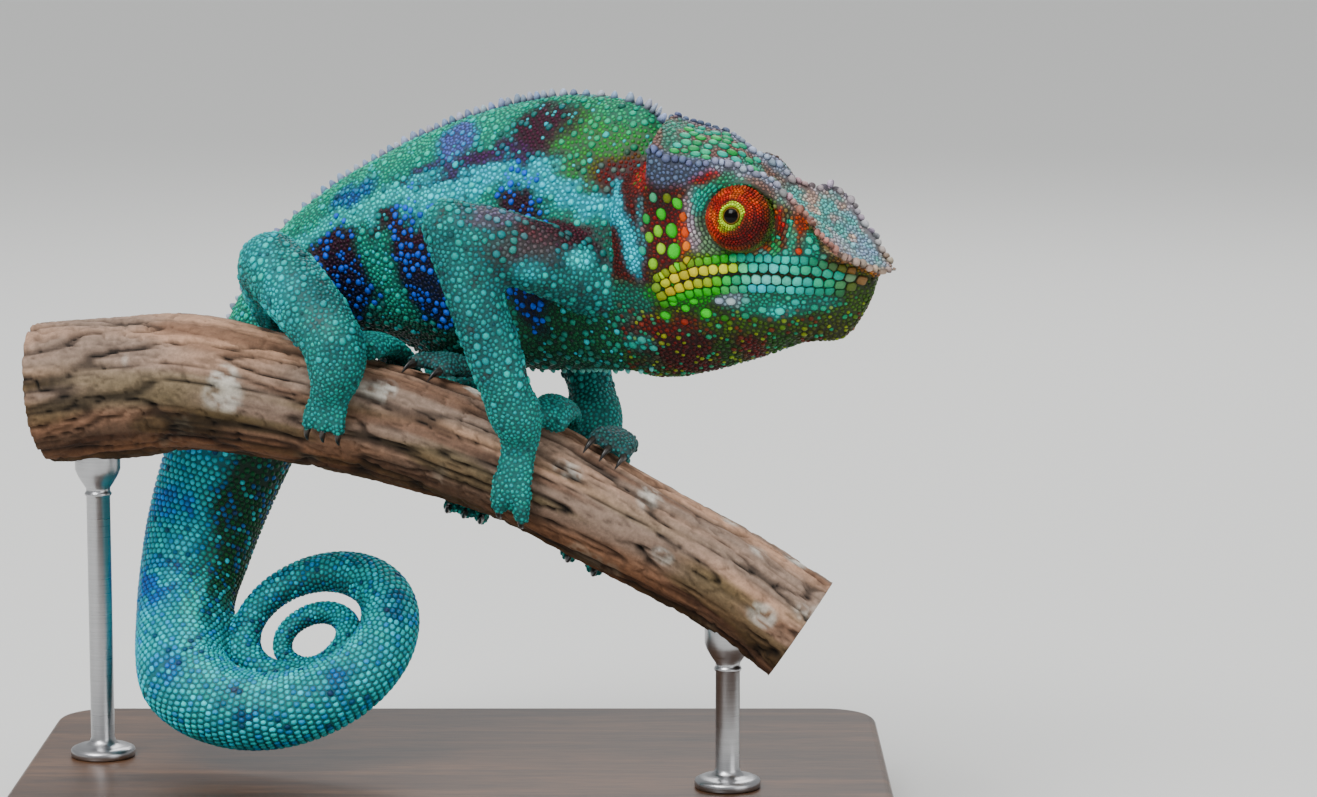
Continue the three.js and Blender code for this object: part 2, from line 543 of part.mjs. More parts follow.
// A bundle of toes that wraps the branch: one mitten of skin, from which the toes' tips and claws reach.
function bundleSolid(bundle, grow = 0) {
  const sweep = rad(bundle.to - bundle.from);
  const reach = Math.abs(sweep) * (perchRadius(perchStation(bundle.x), 0) + TOE.thick);
  // A ring at a share of the sweep, some way past it and off the bundle's middle line.
  const ring = (share, { past = 0, aside = 0, lift, thick, wide, sides }) => {
    const whole = share + past / reach;
    const t = perchStation(bundle.x + bundle.shift * whole + aside);
    const angle = rad(bundle.from) + sweep * whole;
    const frame = perchFrame(t);
    const up = perchSpoke(frame, angle);
    const centre = frame.centre.clone().addScaledVector(up, perchRadius(t, angle) + lift);
    return ovalRing({ centre, up, out: frame.along, high: thick + grow, wide: wide + grow, sides });
  };
  const thickAt = (share) => mix(TOE.thick, TOE.tipThick, share);
  const steps = Math.max(2, Math.ceil(Math.abs(bundle.to - bundle.from) / 30));
  const between = (from, to, count) => Array.from({ length: count + 1 }, (_, i) => mix(from, to, i / count));
  const skin = (share, full, aside, wide, sides) =>
    ring(share, { aside, lift: GAP * 1.6 + thickAt(share), thick: thickAt(share) * full, wide: wide * full, sides });
  const mitten = loft([
    ...between(-grow / reach, TOE.splitAt, steps).map((share) => skin(share, 1, 0, bundle.wide, SIDES.mitten)),
    skin(TOE.splitAt + 0.05, 0.7, 0, bundle.wide, SIDES.mitten),
  ]);
  const halfWide = (bundle.wide / bundle.toes) * TOE.tipWide;
  const toe = (lane) => {
    const aside = (share) => lane * (bundle.wide - halfWide) * mix(0.85, TOE.fan, share);
    const claw = (past, lift, radius) =>
      ring(1, { past, aside: aside(1), lift, thick: radius, wide: radius, sides: SIDES.toe });
    return loft([
      ...between(TOE.splitAt - 0.08, 0.94, Math.ceil(steps / 2)).map((share) =>
        skin(share, 0.95, aside(share), halfWide, SIDES.toe),
      ),
      skin(1, 0.7, aside(1), halfWide, SIDES.toe),
      claw(0.4, TOE.tipThick + GAP, TOE.clawRadius),
      claw(TOE.clawLength, 0.8, TOE.clawRadius * 0.4),
    ]);
  };
  const lanes = Array.from({ length: bundle.toes }, (_, n) => (2 * n) / (bundle.toes - 1) - 1);
  return lanes.map(toe).reduce((joined, next) => joined.add(next), mitten);
}

const bodyGrown = [bodySolid(0, 5.2, GAP), bodySolid(5, 10.4, GAP)];
for (const leg of LEGS) {
  const [upperName, lowerName, palmName, outerName, innerName] = leg.names;
  const elbow = bend(leg.upper, leg.lower);
  const wrist = bend(leg.lower, leg.palm);
  const outer = bundleSolid(leg.outer);
  const inner = cutBy(bundleSolid(leg.inner), bundleSolid(leg.outer, GAP));
  const bundlesGrown = [bundleSolid(leg.outer, GAP), bundleSolid(leg.inner, GAP)];
  add(upperName, cutBy(limbSolid(leg.upper), pastBend(elbow), ...bodyGrown, headGrown), SKIN);
  const lower = cutBy(limbSolid(leg.lower), beforeBend(elbow), pastBend(wrist), ...bodyGrown);
  add(lowerName, cutBy(lower, perchGrown, ...bundlesGrown), SKIN);
  add(palmName, cutBy(limbSolid(leg.palm), beforeBend(wrist), perchGrown, ...bodyGrown, ...bundlesGrown), SKIN);
  add(outerName, outer, SKIN);
  add(innerName, inner, SKIN);
}

export default group;
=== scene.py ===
from math import cos, pi, radians, sin

import bmesh
import bpy
import numpy as np
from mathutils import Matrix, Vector, kdtree
from mathutils.bvhtree import BVHTree


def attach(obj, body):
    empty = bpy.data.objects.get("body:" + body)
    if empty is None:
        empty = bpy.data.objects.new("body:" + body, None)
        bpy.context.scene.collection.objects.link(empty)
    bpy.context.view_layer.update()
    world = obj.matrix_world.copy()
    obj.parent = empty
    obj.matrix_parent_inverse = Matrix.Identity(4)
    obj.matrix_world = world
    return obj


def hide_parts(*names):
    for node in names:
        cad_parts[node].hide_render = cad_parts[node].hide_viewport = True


# A life-size male panther chameleon on a cut branch and a display stand. Numbers are in millimetres in the
# parts' frame (+X towards the head, -Y towards the right flank, +Z up) until a mesh is made in metres.
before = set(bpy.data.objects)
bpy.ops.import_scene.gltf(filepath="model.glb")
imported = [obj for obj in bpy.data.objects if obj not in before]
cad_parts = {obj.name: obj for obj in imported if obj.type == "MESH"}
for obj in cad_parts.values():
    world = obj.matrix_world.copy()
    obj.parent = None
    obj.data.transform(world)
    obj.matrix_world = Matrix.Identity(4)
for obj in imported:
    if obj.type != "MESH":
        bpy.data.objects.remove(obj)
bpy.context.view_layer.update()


# ---- camera, floor and light ----
# A long lens looks down a little on the right flank. The floor is a wide plain sheet, and the light is a
# large soft lamp high on the left, a weaker one on the right, one behind, and an even pale sky.
FOCAL_PIXELS, PICTURE_WIDTH = 4000, 1317


def add_object(name, data):
    made = bpy.data.objects.new(name, data)
    bpy.context.collection.objects.link(made)
    return made


camera = add_object("camera", bpy.data.cameras.new("camera"))
camera.data.sensor_width = 36
camera.data.lens = 36 * FOCAL_PIXELS / PICTURE_WIDTH
camera.data.clip_end = 100
camera.location = (0.0375, -0.7270, 0.1845)
camera.rotation_euler = (radians(82), 0, 0)
bpy.context.scene.camera = camera


def set_node(node, **values):
    """Sets a node: small-letter names are its settings, others its sockets, with _ for a space. A socket takes
    a constant, another node's output, or another node for the first output of that node."""
    for key, value in values.items():
        if key[0].islower():
            setattr(node, key, value)
        elif isinstance(value, bpy.types.Node):
            node.id_data.links.new(value.outputs[0], node.inputs[key.replace("_", " ")])
        elif isinstance(value, bpy.types.NodeSocket):
            node.id_data.links.new(value, node.inputs[key.replace("_", " ")])
        else:
            node.inputs[key.replace("_", " ")].default_value = value
    return node


def new_material(name, roughness, specular=0.5):
    """A node material, a function that adds a node to it and sets it, and its Principled shader."""
    material = bpy.data.materials.new(name)
    material.use_nodes = True
    nodes = material.node_tree.nodes
    shader = set_node(nodes["Principled BSDF"], Roughness=roughness, Specular_IOR_Level=specular)
    return material, lambda kind, **values: set_node(nodes.new("ShaderNode" + kind), **values), shader


floor_mesh = bpy.data.meshes.new("floor")
floor_mesh.from_pydata([(-30, -10, 0), (30, -10, 0), (30, 50, 0), (-30, 50, 0)], [], [(0, 1, 2, 3)])
floor_paint, _, floor_shader = new_material("floor paint", 0.75)
set_node(floor_shader, Base_Color=(0.72, 0.72, 0.70, 1))
floor_mesh.materials.append(floor_paint)
add_object("floor", floor_mesh)

for name, place, aim, width, power in [
    ("key", (-0.50, -0.70, 1.00), (0.0, 0.0, 0.09), 0.6, 15),
    ("fill", (0.9, -0.8, 0.45), (0.02, 0.0, 0.09), 0.8, 5),
    ("rim", (0.15, 0.9, 0.9), (0.0, 0.0, 0.1), 0.6, 6),
]:
    lamp = add_object(name, bpy.data.lights.new(name, "AREA"))
    lamp.data.size = width
    lamp.data.energy = power
    lamp.location = place
    lamp.rotation_euler = (Vector(place) - Vector(aim)).to_track_quat("Z", "Y").to_euler()
sun = add_object("even light", bpy.data.lights.new("even light", "SUN"))
sun.data.energy = 1.3
sun.data.angle = radians(60)
sun.rotation_euler = (radians(20), radians(-12), 0)
world = bpy.data.worlds.new("sky")
world.use_nodes = True
set_node(world.node_tree.nodes["Background"], Color=(0.86, 0.88, 0.90, 1), Strength=0.55)
bpy.context.scene.world = world


# ---- perch ----
# A cut length of dry branch with grey-brown bark, fissured along its length. The animal's hands and feet
# grip it, and it lies in the cups of the stand's two rods.
def smooth(values, t):
    """Catmull-Rom between a list's stations, at station numbers that needn't be whole."""
    values = np.asarray(values, float)
    last = len(values) - 1
    t = np.atleast_1d(np.asarray(t, float))
    i = np.clip(np.floor(t).astype(int), 0, last - 1)
    a, b, c, d = values[np.maximum(i - 1, 0)], values[i], values[i + 1], values[np.minimum(i + 2, last)]
    x = (t - i).reshape([-1] + [1] * (values.ndim - 1))
    return b + 0.5 * x * (c - a + x * (2 * a - 5 * b + 4 * c - d + x * (3 * (b - c) + d - a)))


def unit(v):
    return v / np.linalg.norm(v, axis=-1, keepdims=True)


def noise(points, size, seed):
    """Smooth random numbers from 0 to 1 at points, with blobs about as wide as size in millimetres."""
    table = np.random.RandomState(seed).rand(32, 32, 32)
    p = np.asarray(points, float) / size + 100
    cell = np.floor(p).astype(int)
    f = p - cell
    f = f * f * (3 - 2 * f)
    total = np.zeros(len(p))
    for dx in (0, 1):
        for dy in (0, 1):
            for dz in (0, 1):
                weight = abs(1 - dx - f[:, 0]) * abs(1 - dy - f[:, 1]) * abs(1 - dz - f[:, 2])
                total += weight * table[(cell[:, 0] + dx) % 32, (cell[:, 1] + dy) % 32, (cell[:, 2] + dz) % 32]
    return total


def ramp(x, low, high):
    """0 below low, 1 above high and smooth between."""
    x = np.clip((np.asarray(x, float) - low) / (high - low), 0, 1)
    return x * x * (3 - 2 * x)


def mix(a, b, share):
    share = np.asarray(share, float)
    if share.ndim == 1 and 3 in (np.shape(a) + np.shape(b)):
        share = share[:, None]
    return a + (np.asarray(b) - a) * share


def grid_faces(rows, columns, first=0):
    """Quads between rings of points, each ring closed on itself."""
    r, c = np.meshgrid(np.arange(rows - 1), np.arange(columns), indexing="ij")
    a = r * columns + c
    b = r * columns + (c + 1) % columns
    return (np.stack([a, b, b + columns, a + columns], -1) + first).reshape(-1, 4)


def turns(around):
    """Angles of evenly spaced points round a ring."""
    return np.linspace(0, 2 * pi, around, endpoint=False)


def capped(rows, columns, first=0):
    """Faces of a stack of rings closed flat at both ends."""
    ring = first + np.arange(columns)[None]
    return [grid_faces(rows, columns, first), ring[:, ::-1], ring + (rows - 1) * columns]


def make_object(name, points, faces, material, smooth_shading=True):
    """A mesh object from millimetre points and faces of any size."""
    mesh = bpy.data.meshes.new(name)
    faces = [np.asarray(f) for f in (faces if isinstance(faces, (list, tuple)) else [faces]) if len(f)]
    sizes = np.concatenate([np.full(len(f), f.shape[1]) for f in faces])
    corners = np.concatenate([f.ravel() for f in faces])
    mesh.vertices.add(len(points))
    mesh.vertices.foreach_set("co", (np.asarray(points) * 0.001).astype(np.float32).ravel())
    mesh.loops.add(len(corners))
    mesh.loops.foreach_set("vertex_index", corners.astype(np.int32))
    mesh.polygons.add(len(sizes))
    mesh.polygons.foreach_set("loop_start", (np.cumsum(sizes) - sizes).astype(np.int32))
    mesh.polygons.foreach_set("loop_total", sizes.astype(np.int32))
    mesh.update(calc_edges=True)
    mesh.validate()
    mesh.polygons.foreach_set("use_smooth", np.full(len(mesh.polygons), smooth_shading))
    mesh.materials.append(material)
    return add_object(name, mesh)


def paint(piece, colours):
    """Stores a linear colour for each point of a piece's mesh."""
    layer = piece.data.color_attributes.new("paint", "FLOAT_COLOR", "POINT")
    rgba = np.ones((len(colours), 4), np.float32)
    rgba[:, :3] = np.clip(colours, 0, 1)
    layer.data.foreach_set("color", rgba.ravel())


def add_uv(piece, name, uv):
    """A UV map from one place in it for each point of a piece's mesh."""
    corner = np.empty(len(piece.data.loops), np.int32)
    piece.data.loops.foreach_get("vertex_index", corner)
    piece.data.uv_layers.new(name=name).data.foreach_set("uv", uv[corner].astype(np.float32).ravel())


def painted_material(name, roughness, specular, scale, depth, contrast=0.25,
                     span=(0.3, 0.7), strength=0.5, detail=4, coarse=0.5):
    """A material of a mesh's own painted colours, with fine grain in tone and relief."""
    made, add, shader = new_material(name, roughness, specular)
    grain = add("TexNoise", Vector=add("TexCoord").outputs["Object"], Scale=scale, Detail=detail, Roughness=coarse)
    tone = add("MapRange", Value=grain, From_Min=span[0], From_Max=span[1], To_Min=1 - contrast, To_Max=1 + contrast)
    toned = add("VectorMath", operation="SCALE", Vector=add("Attribute", attribute_name="paint"), Scale=tone)
    relief = add("Bump", Strength=strength, Distance=depth, Height=grain)
    set_node(shader, Base_Color=toned, Normal=relief)
    return made


def two_tone(add, share, low, high, ends=(0, 1)):
    """A node that mixes two colours by a share."""
    made = add("ValToRGB", Fac=share)
    for element, colour, position in zip(made.color_ramp.elements, (low, high), ends):
        element.position = position
        element.color = (*colour, 1)
    return made


# The branch's centre line and radius at stations, from the animal's tail end down to its head end.

PERCH = np.array([
    [-76.0, 7.5, 82.2, 13.2], [-62.0, 5, 83.9, 13.1], [-46.8, 2, 84.7, 12.8], [-24.3, -4, 81.4, 11.7],
    [-5.8, -9, 77.6, 10.9], [12.5, -14, 71.5, 10.3], [30.6, -17, 62.6, 10.1], [48.6, -19, 52.9, 10.1],
    [62.9, -21, 43.3, 10.3],
])
PERCH_LAST = len(PERCH) - 1


def perch_radius(t, angle):
    swell = 0.025 * np.sin(2 * angle + 1.7 * t) + 0.02 * np.sin(3 * angle - 2.3 * t + 1)
    return smooth(PERCH[:, 3], t) * (1 + swell)


def perch_frame(t):
    """The branch's centre, the way along it, its top and its right-flank side, at stations."""
    t = np.atleast_1d(np.asarray(t, float))
    ahead = smooth(PERCH[:, :3], np.minimum(PERCH_LAST, t + 0.05))
    along = unit(ahead - smooth(PERCH[:, :3], np.maximum(0, t - 0.05)))
    side = unit(np.cross(along, [0, 0, 1]))
    return smooth(PERCH[:, :3], t), along, unit(np.cross(side, along)), side


def perch_station(x):
    low, high = 0.0, float(PERCH_LAST)
    for _ in range(30):
        middle = (low + high) / 2
        if smooth(PERCH[:, 0], middle)[0] < x:
            low = middle
        else:
            high = middle
    return low


# Bark runs along the branch: its pattern is stretched that way and wanders round it a little.
RINGS, AROUND, STATION_LENGTH, MEAN_RADIUS = 330, 150, 17.6, 11
stations = np.repeat(np.linspace(0, PERCH_LAST, RINGS), AROUND)
angles = np.tile(turns(AROUND), RINGS)
centre, _, top, side = perch_frame(stations)
spoke = top * np.cos(angles)[:, None] + side * np.sin(angles)[:, None]
length = stations * STATION_LENGTH
wander = 3 * noise(np.stack([length, 0 * angles, 0 * angles], -1), 22, 5)[:, None]


def unrolled(stretch):
    """Places on the branch as if it were straight, its length multiplied by stretch."""
    return np.stack([length * stretch, MEAN_RADIUS * np.cos(angles), MEAN_RADIUS * np.sin(angles)], -1)


grain = unrolled(0.14) + wander
crack = ramp(1 - 2 * np.abs(noise(grain, 1.9, 11) - 0.5), 0.80, 0.98)
fine_crack = ramp(1 - 2 * np.abs(noise(grain * [1.6, 1, 1], 0.95, 12) - 0.5), 0.82, 0.98)
crumb = noise(unrolled(0.8), 0.7, 13)
broad = noise(grain, 5.5, 14)
lift = -0.25 - 0.95 * crack * (0.4 + 0.6 * broad) - 0.4 * fine_crack - 0.30 * crumb + 0.45 * (broad - 0.4)
perch_points = centre + spoke * (perch_radius(stations, angles) + lift)[:, None]
TAN, GREY, BROWN = [0.42, 0.245, 0.155], [0.235, 0.165, 0.125], [0.125, 0.062, 0.036]
LICHEN, MOSS = [0.55, 0.53, 0.47], [0.10, 0.085, 0.025]
bark_colour = mix(np.array(TAN), GREY, ramp(noise(grain, 3.2, 15), 0.25, 0.75))
bark_colour = mix(bark_colour, BROWN, 0.75 * ramp(noise(grain * [0.7, 1, 1], 2.1, 16), 0.55, 0.8))
lichen = ramp(noise(unrolled(1), 6.0, 17), 0.68, 0.8) * ramp(crumb, 0.2, 0.6)
bark_colour = mix(bark_colour, LICHEN, 0.75 * lichen)
moss = ramp(noise(grain, 2.6, 18), 0.4, 0.65) * ramp(-np.cos(angles), -0.7, 0)
bark_colour = mix(bark_colour, MOSS, 0.6 * moss)
# The underside of the branch is painted darker, as painted shade.
bark_colour = mix(bark_colour, bark_colour * [0.30, 0.22, 0.16], ramp(-np.cos(angles), -0.45, 0.75))
# The cracks are painted darker, as painted shade in the fissures, and the crumb varies the tone.
bark_colour = bark_colour * (1 - 0.72 * crack - 0.35 * fine_crack)[:, None] * (0.75 + 0.5 * crumb)[:, None]
bark = painted_material("bark", 0.92, 0.25, 1600, 0.0003, contrast=0.45,
                        span=(0, 1), strength=0.6, detail=5, coarse=0.65)

# The sawn ends show pale wood with fine rings.
sawn, add, shader = new_material("sawn wood", 0.8, 0.3)
year_rings = add("TexWave", wave_type="BANDS", bands_direction="X", Vector=add("TexCoord").outputs["UV"],
                 Scale=4.5, Distortion=1.6, Detail=3)
set_node(shader, Base_Color=two_tone(add, year_rings.outputs["Fac"], (0.30, 0.175, 0.09), (0.56, 0.39, 0.23)))

# Each end is a stack of shrinking rings closed by a fan. The UV map holds a point's share of the rim's radius.
END_RINGS = 8
shares = np.linspace(1, 0.06, END_RINGS)
points, faces, count = [perch_points], [grid_faces(RINGS, AROUND)], len(perch_points)
for first, t, way in ((0, 0.0, -1), (count - AROUND, float(PERCH_LAST), 1)):
    hub = perch_frame(t)[0]
    rim = perch_points[first:first + AROUND]
    points += [hub + (rim - hub) * share for share in shares[1:]]
    index = np.concatenate([first + np.arange(AROUND), count + np.arange((END_RINGS - 1) * AROUND)])
    cap = index[-AROUND:]
    fan = np.stack([np.full(AROUND - 2, cap[0]), cap[1:-1], cap[2:]], -1)
    faces += [index[grid_faces(END_RINGS, AROUND)][:, ::way], fan[:, ::way]]
    count += (END_RINGS - 1) * AROUND
perch = make_object("perch_bark", np.concatenate(points), faces, bark)
paint(perch, np.concatenate([bark_colour, np.tile([0.4, 0.28, 0.17], (count - len(perch_points), 1))]))
perch.data.materials.append(sawn)
is_end = np.arange(len(perch.data.polygons)) >= len(faces[0])
perch.data.polygons.foreach_set("material_index", is_end.astype(np.int32))
share_at = np.concatenate([np.ones(len(perch_points)), np.tile(np.repeat(shares[1:], AROUND), 2)])
turn_at = np.concatenate([angles, np.tile(turns(AROUND), 2 * (END_RINGS - 1))])
add_uv(perch, "rings", np.stack([share_at, 0.15 * np.sin(turn_at)], -1))
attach(perch, "root")
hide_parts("perch")


# ---- skin ----
# One dry skin covers the whole animal and stands for all its nodes of flesh. It is made from smooth lofts of
# the body, head, legs and toes, joined into one surface, and it lies a scale's height inside the solids.
BACKBONE = np.array([
    [42.5, -26, 113.0, 17.5, 7.0, 4, 0.1], [35.3, -21, 113.3, 23.6, 10.0, 2.6, 0.35],
    [26.3, -14, 114.7, 25.2, 12.3, 1.8, 0.45], [15.6, -6, 113.3, 25.0, 13.4, 1.4, 0.45],
    [4.8, 2, 111.6, 23.1, 13.6, 0.4, 0.45], [-5.9, 9.5, 109.4, 20.1, 13.2, -1.6, 0.4],
    [-16.0, 16.5, 106.5, 16.6, 12.0, -6, 0.35], [-25.2, 22.5, 101.6, 13.6, 10.4, -12, 0.25],
    [-31.8, 26, 93.2, 11.8, 9.6, -20, 0.15], [-37.4, 28, 82.2, 11.6, 9.8, -32, 0.1],
    [-43.6, 28, 70.4, 12.0, 10.0, -46, 0.05], [-47.6, 26.5, 60.0, 11.3, 10.0, -58, 0],
    [-50.4, 23.5, 50.0, 10.3, 9.2, -70, 0], [-52.0, 17.5, 40.5, 9.2, 8.3, -80, 0],
])
COIL_CENTRE, COIL_RADIUS, COIL_TURNS = np.array([-29.3, 6, 39.2]), 24.2, (192, 1070)
COIL_SHRINK, COIL_FLATTEN, COIL_SLANT, COIL_LEAN, COIL_DRIFT = 0.686, 0.92, 17.5, 50, 3.2
COIL_HIGH = [8.2, 6.9, 5.2, 3.5, 2.8, 2.7, 2.5, 2.2, 1.9, 1.4, 0.8]
COIL_WIDE = [7.3, 6.4, 4.8, 3.1, 2.5, 2.4, 2.2, 1.9, 1.6, 1.2, 0.7]
COIL_START, COIL_STEP = len(BACKBONE), 28
BODY_LAST = COIL_START + (COIL_TURNS[1] - COIL_TURNS[0]) / COIL_STEP


def coil_at(t):
    """A point of the coil, its spoke away from the coil's middle and its number of quarter turns."""
    turn = COIL_TURNS[0] + (np.atleast_1d(t) - COIL_START) * COIL_STEP
    radius = COIL_RADIUS * COIL_SHRINK ** ((turn - 180) / 180)
    slant, lean = radians(COIL_SLANT), radians(COIL_LEAN)
    right = np.array([cos(slant), 0, sin(slant)])
    up = np.array([-sin(slant) * cos(lean), sin(lean), cos(slant) * cos(lean)])
    left_flank = np.cross(up, right)
    turned = np.radians(turn)[:, None]
    spoke = right * np.cos(turned) + up * np.sin(turned) * COIL_FLATTEN
    point = COIL_CENTRE + spoke * radius[:, None] + left_flank * (COIL_DRIFT * (turn - 180) / 360)[:, None]
    return point, unit(spoke), (turn - 180) / 90


def body_centre(t):
    t = np.atleast_1d(np.asarray(t, float))
    joined = np.concatenate([BACKBONE[:, :3], coil_at([COIL_START, COIL_START + 1])[0]])
    on_back = smooth(joined, np.minimum(t, COIL_START))
    return np.where((t >= COIL_START)[:, None], coil_at(np.maximum(t, COIL_START))[0], on_back)


def body_section(t):
    """The body's centre, back direction, left-flank direction, half sizes and keel at stations."""
    t = np.atleast_1d(np.asarray(t, float))
    along = unit(body_centre(np.minimum(BODY_LAST, t + 0.1)) - body_centre(np.maximum(0, t - 0.1)))
    own = smooth(BACKBONE[:, 3:], np.minimum(t, COIL_START - 1))
    coiled = np.clip((t - COIL_START + 1) / 2, 0, 1)
    _, spoke, quarter = coil_at(np.maximum(COIL_START, t))
    lean = np.radians(own[:, 2])
    up = mix(np.stack([np.sin(lean), 0 * lean, np.cos(lean)], -1), spoke, coiled)
    up = unit(up - along * np.sum(up * along, -1, keepdims=True))
    high = mix(own[:, 0], smooth(COIL_HIGH, quarter), coiled)
    wide = mix(own[:, 1], smooth(COIL_WIDE, quarter), coiled)
    return body_centre(t), up, unit(np.cross(along, up)), high, wide, np.maximum(0, own[:, 3])


HEAD_AT, HEAD_YAW, HEAD_ROLL = np.array([38.7, -24.7, 108.5]), radians(-17), radians(19)
HEAD_FORWARD = np.array([cos(HEAD_YAW), sin(HEAD_YAW), 0])
HEAD_UP = np.array([sin(HEAD_YAW) * sin(HEAD_ROLL), -cos(HEAD_YAW) * sin(HEAD_ROLL), cos(HEAD_ROLL)])
HEAD_OUT = np.cross(HEAD_FORWARD, HEAD_UP)
HEAD_AXES = np.stack([HEAD_FORWARD, HEAD_UP, HEAD_OUT])
# Outlines at distances forward of the jaw joint: each name's height, then its half width.
HEAD_STATIONS = [-7, -3, 0.2, 1.6, 4.5, 8, 11.5, 15, 18.5, 22, 25, 27.5, 29.5, 31.5, 33.5, 35.5, 37.5, 39.5, 41.9]
HEAD_LINES = [
    ([-20, -20.3, -20.1, -20, -19.4, -18.5, -17.4, -16.3, -15, -13.6, -12.4, -12, -11.9, -11.5, -10, -7.4, -3.8, 1.2,
      1.3], [0] * 19),
    ([-19.4, -19.7, -19.5, -19.4, -18.8, -17.9, -16.8, -15.7, -14.4, -13, -11.8, -11.4, -11.3, -10.9, -9.4, -6.8,
      -3.2, 1.8, 1.9], [2.4, 2.5, 2.5, 2.5, 2.4, 2.3, 2.2, 2.1, 2.1, 2.2, 2.4, 2.6, 2.7, 2.5, 2.2, 1.6, 1, 0.8, 0.3]),
    ([-12, -12, -11.8, -11.7, -11.4, -10.8, -10.2, -9.6, -9, -8.4, -7.8, -7.6, -7.4, -7, -6.2, -4.8, -2.9, 1.35, 1.4],
     [7.2, 7.4, 7.4, 7.4, 7.3, 7.1, 6.9, 6.7, 6.4, 6, 5.6, 5.1, 4.6, 4, 3.3, 2.3, 1.2, 1.2, 0.5]),
    ([-4, -4, -3.6, -3.2, -2.4, -1.4, -1, -0.8, -0.8, -0.9, -1.2, -1.5, -1.8, -2.1, -2.4, -2.4, -2, 1.6, 1.5],
     [8.2, 9, 9.7, 9.9, 10, 9.9, 9.7, 9.3, 8.8, 8.1, 7.4, 6.7, 6, 5.1, 4.1, 2.8, 1.4, 1.9, 0.7]),
    ([1, -0.2, 0, 0.7, 2.4, 3.6, 4, 4.3, 4.4, 4.1, 3.6, 3.2, 2.7, 2, 1.2, 0.3, -1, 2, 1.6],
     [8.4, 9.4, 10.1, 10.4, 10.4, 10.2, 9.9, 9.6, 9.2, 8.5, 7.8, 7, 6.2, 5.3, 4.3, 3, 1.6, 2.4, 0.8]),
    ([9, 9, 9.4, 9.6, 10, 10.4, 10.6, 10.6, 10.2, 9.6, 8.8, 8, 7.3, 6.4, 5.2, 4, 2.6, 2.4, 1.7],
     [7.8, 9.2, 9.7, 9.8, 9.6, 8.9, 8, 7.4, 7.2, 7, 6.6, 6.1, 5.6, 5, 4.2, 3.4, 2.8, 2.9, 0.9]),
    ([13.5, 15.5, 18, 22.8, 22.4, 21.3, 20.7, 19.6, 17.6, 15.6, 13.6, 12.6, 11.8, 9.9, 7.6, 5.6, 4.2, 2.8, 1.8],
     [7, 8.4, 8.4, 8.6, 9, 8.8, 7.8, 5.8, 4.4, 4.2, 4.4, 5.4, 7.2, 8.3, 8, 6.5, 5.3, 3.4, 1]),
    ([15.5, 17.5, 20.5, 26.6, 25.7, 24.8, 24.3, 23.3, 21.4, 19.4, 16.8, 15.3, 14.6, 12.5, 9.8, 7.4, 5.6, 3.4, 1.9],
     [6, 7, 7, 7.6, 8.2, 8, 7.2, 5, 3.4, 2.9, 3.4, 5.2, 7.7, 8.9, 8.5, 6.9, 5.6, 3.5, 1]),
    ([16.5, 18.6, 21.6, 27.2, 26.2, 25.2, 24.6, 23.4, 21.3, 18.9, 15.9, 14, 12.8, 10.8, 8.5, 6.4, 4.8, 3.1, 1.9],
     [3.5, 4.5, 4.6, 5, 5.6, 5.6, 5, 3.4, 2.1, 1.7, 2, 3.5, 5.6, 6.7, 6.4, 5, 3.9, 2.2, 0.5]),
    ([17, 19.2, 22.2, 27.6, 27, 26, 25.2, 23.8, 21.2, 18.4, 15.3, 13.3, 12, 10, 8, 6.1, 4.7, 3, 2], [0] * 19),
]
EYE = np.array([16.7, 13.7, 6.5])
EYE_RADIUS, EYE_GAZE = 6.1, radians(28)


def head_point(forward, up, out):
    return HEAD_AT + np.stack(np.broadcast_arrays(forward, up, out), -1) @ HEAD_AXES


def head_place(points):
    """Points in the head's own frame: forward, up and out to the right flank."""
    return (points - HEAD_AT) @ HEAD_AXES.T


# Each limb's joints with the radius there, and each bundle of toes: where it sits on the branch, how far its
# tips move along it, the first and last angle off the branch's top, its half width and its toes.
LIMBS = {
    "arm_upper_right": [[30.5, -20, 105.5, 7.2], [17, -28.5, 111.2, 6.5], [4.6, -32, 115.6, 6.0]],
    "arm_lower_right": [[1.6, -32.3, 117, 5.4], [6.0, -31, 102.7, 5.1], [10.2, -29, 89.2, 4.9]],
    "hand_right": [[10.6, -28.6, 87.6, 4.8], [12.4, -26.4, 82.6, 4.8], [13.0, -24.6, 79.2, 4.0]],
    "arm_upper_left": [[33.5, -3, 105, 7.2], [25.5, 7, 109.5, 6.4], [17.5, 14.5, 112.5, 6.0]],
    "arm_lower_left": [[16.4, 15.4, 113, 5.4], [21.2, 11.0, 99, 5.4], [25.0, 3.5, 84.2, 4.6]],
    "hand_left": [[25.4, 2.6, 82.8, 4.7], [26.2, -1.0, 78.4, 4.9], [26.8, -4.0, 75.2, 4.0]],
    "thigh_right": [[-30.0, 18, 96, 7.6], [-32.2, 5, 102.8, 7.0], [-32.8, -5, 107.6, 6.4]],
    "shin_right": [[-32.4, -6.4, 108, 6.2], [-26.4, -14, 102.2, 6.4], [-20.4, -20.3, 95.6, 5.8]],
    "foot_right": [[-20.1, -20.4, 95.2, 5.8], [-20.0, -19.6, 91.2, 5.5], [-20.6, -18.6, 87.8, 4.6]],
    "thigh_left": [[-26.5, 29, 96.5, 7.2], [-18.5, 35.5, 100.5, 6.5], [-10.5, 37.5, 104, 5.9]],
    "shin_left": [[-9.4, 37.3, 104.2, 5.6], [-5.6, 26.5, 97.5, 5.4], [-2.4, 14.6, 90.6, 4.8]],
    "foot_left": [[-2.0, 13.2, 90, 4.9], [-0.8, 8, 86.6, 5.1], [0.2, 2.6, 84.4, 4.2]],
}
